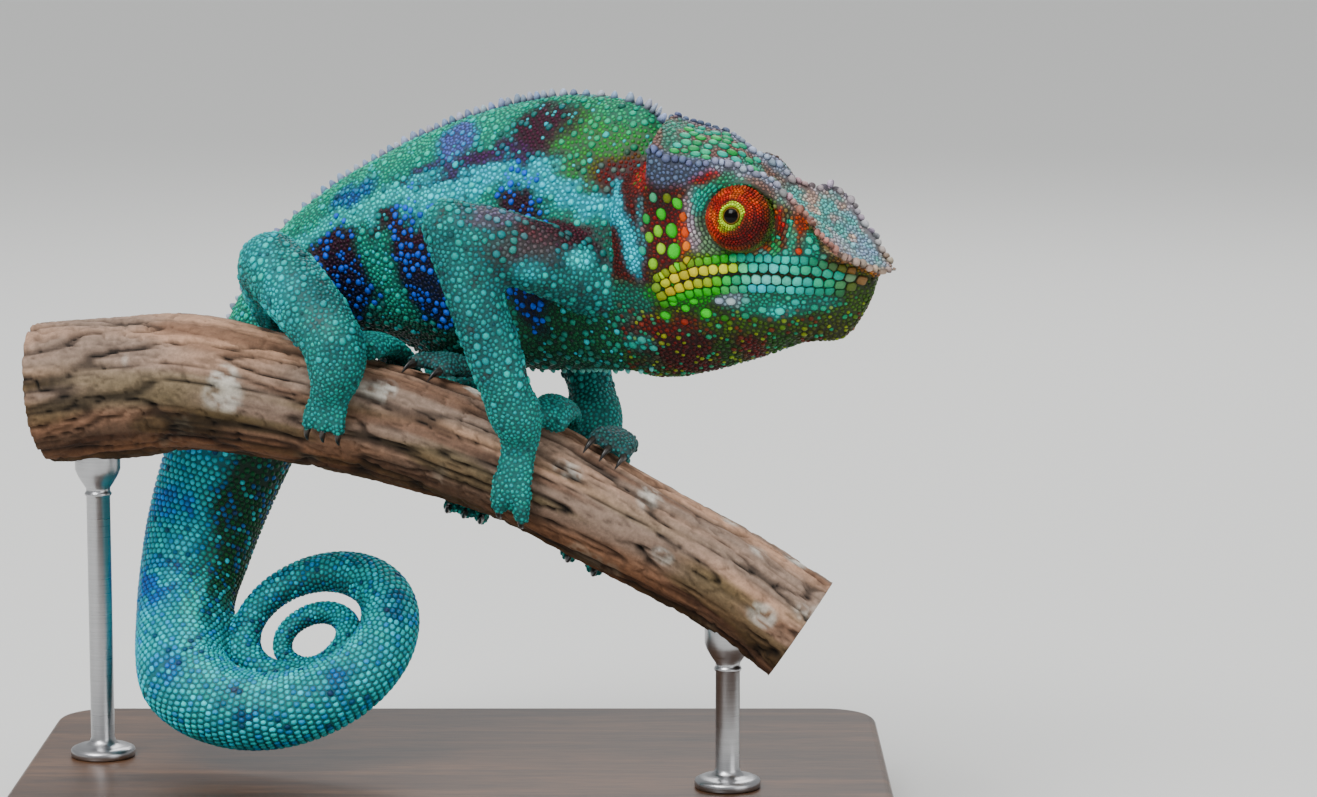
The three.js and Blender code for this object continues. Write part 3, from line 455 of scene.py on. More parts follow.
BUNDLES = {
    "fingers_outer_right": (12, 3.5, 42, 120, 3.6, 2), "fingers_inner_right": (14.2, 0.5, 30, -100, 4.0, 3),
    "fingers_outer_left": (23.2, 5, -42, -168, 4.2, 2), "fingers_inner_left": (24.5, -0.6, -26, 20, 3.8, 3),
    "toes_outer_right": (-18.5, -0.5, 40, 98, 3.9, 3), "toes_inner_right": (-17, 5, 26, -110, 4.4, 2),
    "toes_outer_left": (0.5, 5, -44, -172, 4.6, 3), "toes_inner_left": (-3.5, -3, -26, 14, 4.0, 2),
}
PARTS = ["body", "head", *LIMBS, *BUNDLES, "folds"]
lofts = []  # (points, faces, part number, station of each point, angle of each point)


def add_loft(part, rings, stations, angles):
    """Keeps a closed loft of rings, with hubs that close its ends."""
    rings = np.asarray(rings)
    count, around = rings.shape[:2]
    hubs = np.stack([rings[0].mean(0), rings[-1].mean(0)])
    points = np.concatenate([rings.reshape(-1, 3), hubs])
    k = np.arange(around)
    start = np.stack([np.full(around, count * around), (k + 1) % around, k], -1)
    end = np.stack([np.full(around, count * around + 1), k, (k + 1) % around], -1)
    end[:, 1:] += (count - 1) * around
    station = np.concatenate([np.repeat(stations, around), [stations[0], stations[-1]]])
    angle = np.concatenate([np.tile(angles, count), [0, 0]])
    lofts.append((points, grid_faces(count, around), np.concatenate([start, end]), PARTS.index(part), station, angle))


# The body: back at angle 0, left flank at a quarter turn.
BODY_AROUND = 84
t = np.concatenate([np.linspace(0, COIL_START, 150, endpoint=False), np.linspace(COIL_START, BODY_LAST, 330)])
middle, up, out, high, wide, keel = [v[:, None] for v in body_section(t)]
angle = turns(BODY_AROUND)[None, :]
across = np.sin(angle) * np.abs(np.sin(angle)) ** keel
rings = middle + up * (high * np.cos(angle))[..., None] + out * (wide * across)[..., None]
add_loft("body", rings, t, turns(BODY_AROUND))

# The head: each section is a closed curve through its outline's points.
POINTS_BETWEEN = 8
steps = np.linspace(0, len(HEAD_STATIONS) - 1, 110)
heights = np.stack([smooth(height, steps) for height, _ in HEAD_LINES], -1)
halves = np.maximum(0, np.stack([smooth(half, steps) for _, half in HEAD_LINES], -1))
outline = np.stack([np.concatenate([heights, heights[:, -2:0:-1]], 1),
                    np.concatenate([halves, -halves[:, -2:0:-1]], 1)], -1)
corners = outline.shape[1]
around = np.arange(0, corners, 1 / POINTS_BETWEEN)
closed = np.concatenate([outline[:, -3:], outline, outline[:, :4]], 1)
section = np.stack([smooth(row, around + 3) for row in closed])
forward = smooth(HEAD_STATIONS, steps)
rings = head_point(forward[:, None], section[..., 0], section[..., 1])
add_loft("head", rings, steps, around / corners * 2 * pi)

# Limbs: tubes through their joints with round ends.
LIMB_AROUND, LIMB_RINGS, CAP_RINGS = 36, 24, 7
ball = np.sin(np.linspace(-pi / 2, 0, CAP_RINGS + 2)[1:-1])
t = np.concatenate([np.zeros(CAP_RINGS), np.linspace(0, 2, LIMB_RINGS), np.full(CAP_RINGS, 2.0)])
ahead = np.concatenate([ball, np.zeros(LIMB_RINGS), -ball[::-1]])
for name, joints in LIMBS.items():
    joints = np.array(joints)
    at = smooth(joints, t)
    along = unit(smooth(joints[:, :3], np.minimum(2, t + 0.05)) - smooth(joints[:, :3], np.maximum(0, t - 0.05)))
    out = unit(np.cross([0, 0, 1], along))
    up = np.cross(along, out)
    middle = at[:, :3] + along * (ahead * at[:, 3])[:, None]
    turn = turns(LIMB_AROUND)[None, :, None]
    spoke = up[:, None] * np.cos(turn) + out[:, None] * np.sin(turn)
    rings = middle[:, None] + spoke * (at[:, 3] * np.sqrt(1 - ahead ** 2))[:, None, None]
    add_loft(name, rings, t + 0.35 * ahead, turns(LIMB_AROUND))

# Toes: each bundle is a mitten of skin that splits into its toes, wrapped round the branch.
TOE_THICK, TIP_THICK, TIP_WIDE, SPLIT_AT, TOE_FAN, OFF_BARK = 2.4, 1.35, 0.94, 0.78, 1.04, 0.48
MITTEN_AROUND, TOE_AROUND = 40, 22
claw_roots = []  # (bundle, how far aside of the bundle's middle)


def bundle_ring(bundle, share, past, aside, lift, thick, wide, around):
    """A ring of points round a toe at a share of its way, or millimetres past it, lifted off the branch."""
    x, shift, start, end, _, _ = bundle
    sweep = radians(end - start)
    reach = abs(sweep) * (perch_radius(perch_station(x), 0)[0] + TOE_THICK)
    whole = share + past / reach
    t = perch_station(x + shift * whole + aside)
    turn = radians(start) + sweep * whole
    hub, along, top, side = (v[0] for v in perch_frame(t))
    up = top * cos(turn) + side * sin(turn)
    middle = hub + up * (perch_radius(t, turn)[0] + lift)
    k = turns(around)[:, None]
    return middle + up * np.cos(k) * thick + along * np.sin(k) * wide


for name, bundle in BUNDLES.items():
    wide, toes = bundle[4], bundle[5]
    half = wide / toes * TIP_WIDE
    rings = []
    shares = np.linspace(0, SPLIT_AT, 22)
    for share in shares:
        thick = mix(TOE_THICK, TIP_THICK, share)
        ease = 1 - ramp(share, SPLIT_AT - 0.05, SPLIT_AT + 0.06)
        rings.append(bundle_ring(
            bundle, share, 0, 0, OFF_BARK + thick, thick * (0.6 + 0.4 * ease), wide, MITTEN_AROUND))
    thick = mix(TOE_THICK, TIP_THICK, SPLIT_AT)
    rings.append(bundle_ring(
        bundle, SPLIT_AT + 0.05, 0, 0, OFF_BARK + thick, thick * 0.6, wide * 0.9, MITTEN_AROUND))
    add_loft(name, rings, [*shares, SPLIT_AT + 0.05], turns(MITTEN_AROUND))
    for lane in np.linspace(-1, 1, toes):
        rings = []
        shares = np.linspace(SPLIT_AT - 0.16, 1, 18)
        for share in shares:
            thick = mix(TOE_THICK, TIP_THICK, share)
            aside = lane * (wide - half) * mix(0.85, TOE_FAN, share)
            blunt = sin(pi / 2 * min(1, (1.02 - share) / 0.09)) ** 0.6
            pad = 1 + 0.06 * sin(40 * share)
            rings.append(bundle_ring(bundle, share, 0, aside, OFF_BARK + thick, thick * blunt * pad,
                                     half * blunt * pad * 1.04, TOE_AROUND))
        add_loft(name, rings, shares, turns(TOE_AROUND))
        claw_roots.append((bundle, lane * (wide - half) * TOE_FAN))

# Two folds of skin round the foot of each eye turret, each with its radius, thickness and height.
FOLD_AROUND, TURRET_SINK = 12, 1.2
for flank in (1, -1):
    hub = EYE * [1, 1, flank] + [0, 0, -TURRET_SINK * flank]
    across = np.array([0, 0, flank])
    k = turns(FOLD_AROUND)[:, None]
    for ring_radius, thick, sink in ((6.35, 0.75, 0.2), (7.5, 0.65, -0.9)):
        rings = []
        for turn in [*turns(72), 0]:
            spoke = np.array([cos(turn), sin(turn), 0])
            wave = 1 + 0.05 * sin(3 * turn + flank) + 0.03 * sin(7 * turn)
            round_off = (spoke * np.cos(k) + across * np.sin(k)) * thick
            ring = hub + spoke * (ring_radius * wave) + across * sink + round_off
            rings.append(head_point(*ring.T))
        add_loft("folds", rings, np.linspace(0, 1, len(rings)), turns(FOLD_AROUND))

# All lofts are joined into one surface of even quads.
VOXEL = 0.72
points, faces, count = [], [], 0
for part_points, quads, triangles, *_ in lofts:
    points.append(part_points)
    faces += [quads + count, triangles + count]
    count += len(part_points)
raw = make_object("raw skin", np.concatenate(points), faces, floor_paint)
remesh = raw.modifiers.new("join", "REMESH")
remesh.mode = "VOXEL"
remesh.voxel_size = VOXEL * 0.001
joined = raw.evaluated_get(bpy.context.evaluated_depsgraph_get()).to_mesh()
skin_points = np.empty(len(joined.vertices) * 3, np.float32)
joined.vertices.foreach_get("co", skin_points)
skin_points = skin_points.reshape(-1, 3).astype(float) * 1000
skin_quads = np.array([p.vertices[:] for p in joined.polygons if len(p.vertices) == 4])
raw.to_mesh_clear()
bpy.data.objects.remove(raw)


# Neighbouring points of the surface, for smoothing and spreading.
quad_ends = np.concatenate([skin_quads[:, [k, (k + 1) % 4]] for k in range(4)])
edges = np.unique(np.sort(quad_ends, 1), axis=0)
ends = np.concatenate([edges, edges[:, ::-1]])
valence = np.bincount(ends[:, 0], minlength=len(skin_points)).astype(float)


def spread(values):
    """Each point's average over its neighbours."""
    if values.ndim == 1:
        return np.bincount(ends[:, 0], values[ends[:, 1]], len(values)) / valence
    return np.stack([spread(column) for column in values.T], -1)


def nearest(tree, points):
    return np.array([tree.find(p)[1] for p in points])


def tree_of(points):
    tree = kdtree.KDTree(len(points))
    for i, p in enumerate(points):
        tree.insert(p, i)
    tree.balance()
    return tree


loft_points = np.concatenate([loft[0] for loft in lofts])
loft_parts = np.concatenate([np.full(len(loft[0]), loft[3]) for loft in lofts])
loft_stations = np.concatenate([loft[4] for loft in lofts])
loft_angles = np.concatenate([loft[5] for loft in lofts])
loft_tree = tree_of(loft_points)
part = loft_parts[nearest(loft_tree, skin_points)]

# Where two lofts meet, the crease is rounded off over a few millimetres. Toes and head keep their edges.
meeting = np.zeros(len(skin_points))
crossing = edges[part[edges[:, 0]] != part[edges[:, 1]]]
meeting[crossing.ravel()] = 1
is_toe = np.isin(part, [PARTS.index(name) for name in BUNDLES])
soft = meeting * (1 - 0.8 * (part == PARTS.index("folds")))
for _ in range(7):
    soft = np.maximum(soft * 0.999, spread(soft) * 1.25)
ahead, above, _ = head_place(skin_points).T
HEAD_PARTS = [PARTS.index("head"), PARTS.index("folds")]
crown = np.isin(part, HEAD_PARTS) & ((above > 8) | (ahead > 2))
soft = np.clip(soft, 0, 1) * (1 - 0.7 * is_toe) * (1 - 0.9 * crown)
for _ in range(2):
    skin_points = mix(skin_points, spread(skin_points), 0.5)
    skin_points = mix(skin_points, spread(skin_points), -0.52)
for _ in range(26):
    skin_points = mix(skin_points, spread(skin_points), 0.6 * soft)


def surface_normals(points):
    a, b, c, d = (points[skin_quads[:, k]] for k in range(4))
    face = np.cross(c - a, d - b)
    total = np.stack([np.bincount(skin_quads.ravel(), np.repeat(face[:, k], 4), len(points)) for k in range(3)], -1)
    return unit(total)


normals = surface_normals(skin_points)
closest = nearest(loft_tree, skin_points)
part, station, angle = loft_parts[closest], loft_stations[closest], loft_angles[closest]
BODY = PARTS.index("body")
on_head = np.isin(part, HEAD_PARTS)
# The ridge of the back is sunk to make room for its cones.
RIDGE_SUNK = 0.8
off_back = np.abs((angle + pi) % (2 * pi) - pi)
ridge = (part == BODY) * ramp(off_back, 0.5, 0.05) * ramp(station, 12, 10.5)
skin_points = skin_points - np.array([0, 0, RIDGE_SUNK]) * ridge[:, None]


def rgb(code):
    """A linear colour from a hex code."""
    v = np.array([int(code[k:k + 2], 16) for k in (0, 2, 4)]) / 255
    return np.where(v <= 0.04045, v / 12.92, ((v + 0.055) / 1.055) ** 2.4)


def patch(x, y, at, half, edge=0.35, turn=0):
    """1 inside an ellipse at a place, 0 outside and soft at its edge."""
    dx, dy = x - at[0], y - at[1]
    c, s = cos(radians(turn)), sin(radians(turn))
    away = np.hypot((dx * c + dy * s) / half[0], (dy * c - dx * s) / half[1])
    return 1 - ramp(away, 1 - edge, 1 + edge)


# The body's markings, by station s from head to tail tip and angle f off the back, the same on both flanks.
tint = np.tile(rgb("0c8f84"), (len(skin_points), 1))
s = station
f = off_back
rough = skin_points + np.where(normals[:, 1] > 0, 40.0, 0.0)[:, None]
warp_s = 0.30 * (noise(rough, 6, 21) - 0.5) + 0.16 * (noise(rough, 2.2, 22) - 0.5)
warp_f = 0.24 * (noise(rough, 6, 23) - 0.5) + 0.16 * (noise(rough, 2.2, 24) - 0.5)
s, f = s + warp_s, f + warp_f
body = np.tile(rgb("08a692"), (len(s), 1))
body = mix(body, rgb("2fb89c"), ramp(f, 0.95, 0.55) * ramp(s, 2.2, 3.0) * 0.8)
body = mix(body, rgb("549c5c"), patch(s, f, (1.5, 0.80), (0.95, 0.36)))
body = mix(body, rgb("2fa07c"), patch(s, f, (1.2, 0.3), (1.3, 0.3)))
body = mix(body, rgb("06503f"), ramp(f, 2.0, 2.5))
body = mix(body, rgb("0a5c40"), patch(s, f, (1.8, 2.2), (1.4, 0.55)))
for at, off, long, wide, code in [
    (2.45, 0.68, 0.40, 0.25, "3c1028"), (0.95, 1.04, 0.62, 0.20, "5e0d0c"), (3.85, 0.72, 0.28, 0.26, "5f6fae"),
    (5.65, 0.86, 0.42, 0.15, "125f9e"), (2.1, 1.57, 1.05, 0.15, "3c0a1c"), (7.3, 0.95, 0.35, 0.4, "125f9e"),
    (0.55, 1.45, 0.5, 0.30, "5c0f0c"), (0.7, 0.45, 0.35, 0.35, "2f8a58"), (3.0, 0.92, 0.75, 0.09, "45204a"),
    (4.35, 1.27, 0.85, 0.13, "3c0d20"), (6.0, 1.24, 0.55, 0.10, "3c0d26"),
]:
    body = mix(body, rgb(code), patch(s, f, (at, off), (long, wide)))
# Dark bars hang from the pale stripe: wine red at the top, deep blue with brighter spots below.
bars = np.zeros(len(s))
for at, half in ((2.55, 0.42), (4.32, 0.50), (5.98, 0.72), (7.65, 0.5), (9.3, 0.45)):
    bar = patch(s, f, (at, 1.68), (half, 0.66), 0.25)
    deep = mix(rgb("300a20"), rgb("03163a"), ramp(f, 1.35, 1.9))
    body = mix(body, deep, bar)
    bars = np.maximum(bars, bar * (part == BODY))
stripe_at = 1.30 - 0.16 * ramp(s, 1, 2.4) - 0.06 * ramp(s, 4, 6)
stripe = (1 - ramp(np.abs(f - stripe_at), 0.07, 0.15)) * ramp(s, 0.2, 0.8) * ramp(s, 7.4, 6.6)
body = mix(body, mix(rgb("08dcf0"), rgb("3cdcd8"), ramp(s, 3.0, 5.4)), stripe)
body = mix(body, rgb("452a5c"), patch(s, f, (3.4, 0.985), (1.5, 0.055)) * 0.95)
body = mix(body, rgb("08d4ea"), patch(s, f, (0.35, 1.75), (0.3, 0.6)))
body = mix(body, rgb("86aab8"), ramp(f, 0.30, 0.10) * ramp(s, 9, 7) * 0.7)
# The tail is paler, with blue patches along it, and darker green below as painted shade.
speckled = 0.9 * ramp(noise(rough, 1.7, 25), 0.36, 0.52)
tail = mix(rgb("18b8c4"), rgb("04a4a8"), ramp(s, 13, 15))
tail = mix(tail, rgb("8fa6c4"), ramp(f, 0.55, 0.2) * ramp(s, 14.2, 13.2) * 0.8)
# The underside is painted darker green, as painted shade.
tail = mix(tail, rgb("0d4a33"), ramp(f, 1.45, 1.8) * ramp(s, 14.3, 12.8))
tail = mix(tail, rgb("6fcccc"), patch(s, f, (14.6, 1.85), (2.2, 0.25)) * 0.8)
tail = mix(tail, rgb("6fc6c6"), patch(s, f, (17.2, 1.9), (1.6, 0.2)) * 0.7)
# The side of the coil that faces its middle is painted darker grey-teal, as painted shade.
tail = mix(tail, rgb("31565c"), ramp(f, 2.15, 2.7) * ramp(s, 15, 17) * 0.75)
for at, off, long, wide, code in [
    (10.0, 0.9, 0.35, 0.5, "1677bd"), (11.4, 0.9, 0.35, 0.5, "1585d0"), (12.9, 0.85, 0.4, 0.6, "2f66b8"),
    (12.9, 1.35, 0.35, 0.2, "4d4a86"), (14.2, 1.0, 0.28, 0.5, "0f6fae"), (15.6, 1.05, 0.38, 0.65, "0a4a72"),
    (15.6, 1.55, 0.25, 0.15, "4a4064"), (17.3, 1.15, 0.35, 0.4, "0e6a94"), (19.4, 1.0, 0.5, 0.6, "085a80"),
    (21.4, 1.3, 0.35, 0.5, "0d6f8a"), (23.4, 1.3, 0.4, 0.5, "0d6f8a"), (25.6, 1.3, 0.4, 0.5, "0c5f78"),
]:
    tail = mix(tail, rgb(code), patch(s, f, (at, off), (long, wide)) * speckled)
body = mix(body, tail, ramp(s, 8.6, 10.2))
tint[part == BODY] = body[part == BODY]

# The limbs are teal with lighter and darker patches, the hands and feet plainer and darker.
limb = mix(rgb("058484"), rgb("0aa09c"), ramp(noise(rough, 5, 41), 0.35, 0.7))
# Surfaces facing down are painted darker, as painted shade under the limbs, hands and toes.
limb = mix(limb, rgb("045450"), ramp(-normals[:, 2], 0.1, 0.8) * 0.7)
limb = mix(limb, rgb("4a1420"), ramp(noise(rough, 1.6, 42), 0.72, 0.84) * 0.8)
x, y, z = rough.T
on = {name: part == PARTS.index(name) for name in [*LIMBS, *BUNDLES]}
arms = on["arm_upper_right"] | on["arm_upper_left"]
red_band = ramp(normals[:, 2], 0.15, 0.6) * ramp(noise(rough, 4, 43), 0.35, 0.5)
limb = mix(limb, rgb("52141f"), red_band * arms * 0.9)
limb = mix(limb, rgb("3c0a1c"), arms * patch(x, z, (22, 116.5), (11, 2.9), 0.3, -32) * 0.95)
limb = mix(limb, rgb("5c3038"), arms * patch(x, z, (14, 113.5), (8, 3.5), 0.6) * 0.75)
limb = mix(limb, rgb("7a7f96"), arms * patch(x, z, (8, 119.5), (6, 2)) * 0.6)
limb = mix(limb, rgb("3fe6ea"), arms * patch(x, z, (24, 111.6), (2.4, 1.8), 0.4))
limb = mix(limb, rgb("1fc9cf"), arms * patch(x, z, (15, 109.5), (3, 2), 0.5) * 0.7)
shins = on["shin_right"] | on["shin_left"] | on["thigh_right"] | on["thigh_left"]
limb = mix(limb, rgb("0cb8bc"), shins * ramp(noise(rough, 7, 44), 0.4, 0.6) * 0.8)
limb = mix(limb, rgb("5f8a88"), shins * patch(x, z, (-21, 99), (4, 3), 0.5) * 0.7)
feet = np.isin(part, [PARTS.index(name) for name in [*BUNDLES, "hand_right", "hand_left", "foot_right", "foot_left"]])
limb = mix(limb, rgb("08a49c"), feet * 0.6)
grey_toes = on["fingers_inner_left"] | on["toes_inner_left"]
limb = mix(limb, rgb("4a5054"), grey_toes * 0.75)
on_limb = ~((part == BODY) | on_head)
tint[on_limb] = limb[on_limb]

# The head, by distance forward and up in its own frame, the same on both sides.
forward, up, out = head_place(skin_points).T
facing_up = normals @ HEAD_UP
side = np.abs(out)
u = forward + 1.1 * (noise(rough, 2.5, 51) - 0.5) + 0.5 * (noise(rough, 1.1, 52) - 0.5)
v = up + 1.1 * (noise(rough, 2.5, 53) - 0.5) + 0.5 * (noise(rough, 1.1, 54) - 0.5)
head = np.tile(rgb("33481a"), (len(u), 1))
head = mix(head, rgb("3c0b09"), ramp(noise(rough, 2.6, 58), 0.52, 0.64) * ramp(v, -3, -6))
head = mix(head, rgb("4a100b"), ramp(u, 1.2, 0.0) * ramp(v, 1, 3))
head = mix(head, rgb("0a7466"), ramp(u, 1.2, 0.0) * ramp(v, 3, 0) * ramp(v, -9, -5) * 0.8)
for ahead, above, long, high, turn, code in [
    (3, -11.5, 8, 6.5, 0, "3a0a0a"), (16, -12.5, 3.2, 5, 0, "4a0c0a"), (11.5, -14, 2.6, 5, 0, "1f4010"),
    (21.5, -12.5, 3.5, 5, 0, "24481a"), (30, -10, 6, 4, 0, "3a4014"), (16, -6, 14, 2.2, 0, "3c541a"),
    (2, -6, 6, 2.5, 0, "5a1a12"), (-4, -10.5, 3, 1.8, 0, "2f8f86"), (35.5, -2, 3.2, 6, 0, "3c5614"),
    (22, -2.0, 7.5, 2.6, 0, "109078"), (22.5, -3.6, 2.4, 1.2, 0, "0cc0b4"), (29, -2.6, 3.4, 1.6, 0, "188878"),
    (14.6, -0.6, 2.8, 1.4, 0, "9cb4c2"), (6, 0.5, 6.4, 2.1, 0, "1f9408"), (9.7, -3.5, 1.2, 1.4, 0, "18a804"),
    (2.4, -4, 1.1, 1.1, 0, "4fa81c"), (31, 0.6, 3.5, 1.2, 0, "2a9068"), (-6.4, 14.6, 3.4, 2.2, -40, "08d4ea"),
    (-3.0, 8.6, 1.5, 5.0, 12, "08d8ee"), (-0.5, 13.2, 0.6, 4.6, 0, "08ccd8"), (-1, 20.3, 3.2, 1.6, 0, "8a1c0c"),
    (5, 12.5, 5.6, 9.5, 0, "600c04"), (3.6, 19, 2.2, 4, 0, "3a0a05"), (7.5, 10, 1.4, 4.4, 0, "d04808"),
    (10.2, 8.2, 2, 2, 0, "9c1a06"), (11, 12, 2.2, 9, 0, "6a8468"), (10.1, 18, 1.5, 3, 0, "2fb8a8"),
    (8.7, 12.5, 0.8, 7, 0, "b8a8b4"), (9, 7.2, 3, 1, 0, "5a7020"), (13, 6.8, 4, 0.8, 0, "3fae10"),
    (7.5, 23.2, 7.5, 2.8, 0, "56627c"), (11.4, 21, 3, 0.9, 0, "861310"), (12.4, 19.7, 1.1, 1, 0, "12b49c"),
    (13, 22.2, 1, 0.8, 0, "b01410"), (17, 20.5, 4, 1.1, 0, "3fa87c"), (23.6, 12.5, 1.7, 5, 0, "56704a"),
    (24.6, 9.6, 2.9, 4.2, 0, "6c0c04"), (23.6, 13.6, 0.7, 2, 0, "c0280a"), (20.6, 7.6, 1.8, 0.8, 0, "d04008"),
    (18.4, 7.6, 1.0, 0.7, 0, "d0ac10"), (25.2, 10, 0.6, 3.4, 0, "2fc09c"), (22.4, 9, 0.6, 2.4, 0, "3fb070"),
    (26.7, 12, 1.3, 2.4, 0, "a03c0c"), (28.9, 8.2, 1.9, 2.8, 0, "08a890"), (21.5, 6.8, 4.6, 0.8, 0, "06b4a8"),
    (28, 5.8, 3, 1, 0, "109c88"), (32, 8, 2.4, 2.6, 0, "544628"), (32.3, 7.3, 0.9, 1.0, 0, "cfc4a4"),
    (35.6, 5, 2.8, 1.6, 0, "945e44"), (38.2, 3.1, 2.2, 1.1, 0, "7c4a28"), (40.5, 1.6, 2.4, 1.4, 0, "b86c34"),
    (30.5, 4.3, 1.0, 0.7, 0, "a01c10"), (33.5, 3.2, 2.4, 1.2, 0, "47622c"),
]:
    head = mix(head, rgb(code), patch(u, v, (ahead, above), (long, high), 0.35, turn))
# The mouth's line is painted dark, as painted shade in the groove between the jaws.
lip_line = np.interp(forward, HEAD_STATIONS, HEAD_LINES[4][0])
mouth_shade = (1 - ramp(np.abs(up - lip_line), 0.25, 0.6)) * ramp(side, 0.8, 1.6) * ramp(forward, 0.5, 2)
head = mix(head, rgb("140a06"), mouth_shade)
rim_line = np.stack([HEAD_STATIONS, HEAD_LINES[7][0], HEAD_LINES[7][1]], -1)
rim_fine = smooth(rim_line, np.linspace(3, 18, 200))
top = ramp(facing_up, 0.15, 0.5) * ramp(up - np.interp(forward, HEAD_STATIONS, HEAD_LINES[6][0]), -0.6, 0.4)
roof = mix(rgb("7c6058"), rgb("4f8a78"), ramp(noise(rough, 2.2, 55), 0.45, 0.65))
scoop = mix(rgb("6fb8b2"), rgb("c4a89c"), ramp(noise(rough, 1.7, 56), 0.5, 0.72))
scoop = mix(scoop, rgb("93a8c0"), ramp(forward, 29, 36) * ramp(noise(rough, 1.3, 57), 0.35, 0.6) * 0.9)
scoop = mix(scoop, rgb("c4ccd4"), patch(forward, out, (34, 2.5), (2.4, 1.0), 0.3, 20) * 0.8)
head = mix(head, mix(roof, scoop, ramp(forward, 22, 26)), top * ramp(forward, 0, 1.5))
rim_tree = tree_of(rim_fine)
rim_away = np.array([rim_tree.find(p)[2] for p in np.stack([forward, up, side], -1)])
rim_colour = mix(mix(rgb("626e8a"), rgb("98a2b4"), ramp(forward, 11, 14)), rgb("b4867a"), ramp(forward, 22, 27))
rim_colour = mix(rim_colour, rgb("a8988c"), ramp(forward, 33, 36))
rim_colour = mix(rim_colour, rgb("c4c6d4"), ramp(-out, 3, 5) * ramp(forward, 22, 25) * 0.7)
head = mix(head, rim_colour, (1 - ramp(rim_away, 0.9, 1.9)) * ramp(up, 1.0, 2.0) * (forward > 1))
tint[on_head] = head[on_head]
for _ in range(2):
    tint = mix(tint, spread(tint), 0.35)


# A scale's depth inside the solids, and painted darker than the scales as painted shade, so that it reads as the
# shaded gaps between them.
SCALE_DEPTH, GAP_SHADE = 0.22, 0.28
skin_points = skin_points - normals * SCALE_DEPTH
skin = make_object("skin", skin_points, skin_quads, painted_material("skin", 0.6, 0.3, 2600, 0.0001))
paint(skin, tint * GAP_SHADE)
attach(skin, "root")
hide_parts("cranium", "lower_jaw", "casque", "neck", "trunk_front", "trunk_rear", "tail_base",
            *[f"tail_{k}" for k in range(1, 8)], *LIMBS, *BUNDLES)


# ---- scales ----
# Small horny scales cover the whole skin edge to edge and are part of it: round tubercles among granules on
# the trunk and legs, rows round the tail, plates along the lips and ovals on the cheeks. All are solid.
skin_bvh = BVHTree.FromPolygons(skin_points.tolist(), skin_quads.tolist())
skin_tree = tree_of(skin_points)
normals = surface_normals(skin_points)
PLAIN, LIP, OVAL, CONE, GRANULE = range(5)
SKIN_COLOUR = (-1, -1, -1)  # a scale of the colour of the skin below it
sites = {key: [] for key in ("place", "normal", "along", "half", "height", "kind", "colour", "root")}
luck = np.random.RandomState(8)


def add_sites(place, normal, along, half, height, kind, colour, root=(-1, -1)):
    """Scales at places on the skin; half holds each one's half length along its direction and half width."""
    count = len(place)
    along = np.broadcast_to(along, (count, 3))
    along = unit(along - normal * np.sum(along * normal, -1, keepdims=True))
    rows = (place, normal, along, np.broadcast_to(half, (count, 2)), np.broadcast_to(height, count),
            np.full(count, kind), np.broadcast_to(colour, (count, 3)), np.broadcast_to(root, (count, 2)))
    for key, row in zip(sites, rows):
        sites[key].append(row)


def on_skin(points):
    """The nearest places on the skin, with its direction there."""
    found = [skin_bvh.find_nearest(p) for p in np.asarray(points)]
    place = np.array([f[0][:] for f in found])
    return place, normals[nearest(skin_tree, place)]


def on_cheek(u, v, flank):
    """Places on the head's side, straight in from a flank."""
    place = []
    for forward, up in zip(u, v):
        start = head_point(forward, up, flank * 30)
        hit = skin_bvh.ray_cast(Vector(start), Vector(-HEAD_OUT * flank))[0]
        place.append(hit[:] if hit else start)
    place = np.array(place)
    return place, normals[nearest(skin_tree, place)]


def turret_frame(flank):
    """An eye turret's middle, and its directions forward, up across the gaze and along the gaze."""
    hub = head_point(*(EYE * [1, 1, flank]))
    gaze = HEAD_OUT * flank * cos(EYE_GAZE) + HEAD_UP * sin(EYE_GAZE)
    above = unit(HEAD_UP - gaze * (HEAD_UP @ gaze))
    return hub, HEAD_FORWARD, above, gaze


def turret_radius(bend):
    """The turret's radius at an angle off its gaze: a ball with a slight cone towards the pupil."""
    return EYE_RADIUS - 0.32 + 0.30 * ramp(bend, radians(42), radians(18))


def turret_colour(bend, turn):
    """Rust orange rings, wine red low down and in front, yellow-green lids, olive at the foot."""
    seen = np.stack([6 * bend * np.cos(turn), 6 * bend * np.sin(turn), 0 * bend], -1)
    ahead, above, _ = seen.T
    made = mix(rgb("b83c08"), rgb("c8600c"), ramp(noise(seen, 1.6, 61), 0.4, 0.7))
    made = mix(made, rgb("7a1206"), ramp(noise(seen, 2.4, 62), 0.5, 0.8) * 0.6)
    made = mix(made, rgb("520a08"), ramp(-above + 0.6 * ahead, 0.5, 4.5) * 0.85)
    made = mix(made, rgb("b8500c"), ramp(-above, 5.5, 7.5) * 0.4)
    made = mix(made, rgb("55300f"), ramp(bend, 0.95, 1.2) * 0.75 * ramp(noise(seen, 1.1, 64), 0.25, 0.6))
    made = mix(made, rgb("3a5a2c"), ramp(bend, 1.2, 1.5) * 0.9)
    lid = mix(rgb("c4e404"), rgb("7c9c08"), ramp(ahead - above, 1.2, 2.6))
    reach = 0.47 - 0.10 * np.abs(np.cos(turn + 0.5)) ** 3 + 0.04 * (noise(seen, 0.7, 65) - 0.5)
    made = mix(made, lid, ramp(bend - reach, 0.0, -0.05))
    return mix(made, rgb("b8c810"), 0.8 * patch(ahead, above, (-1.3, -2.3), (1.2, 0.7)))


def mouth_at(u):
    """The mouth line's height at distances forward."""
    return np.interp(u, HEAD_STATIONS, HEAD_LINES[4][0])


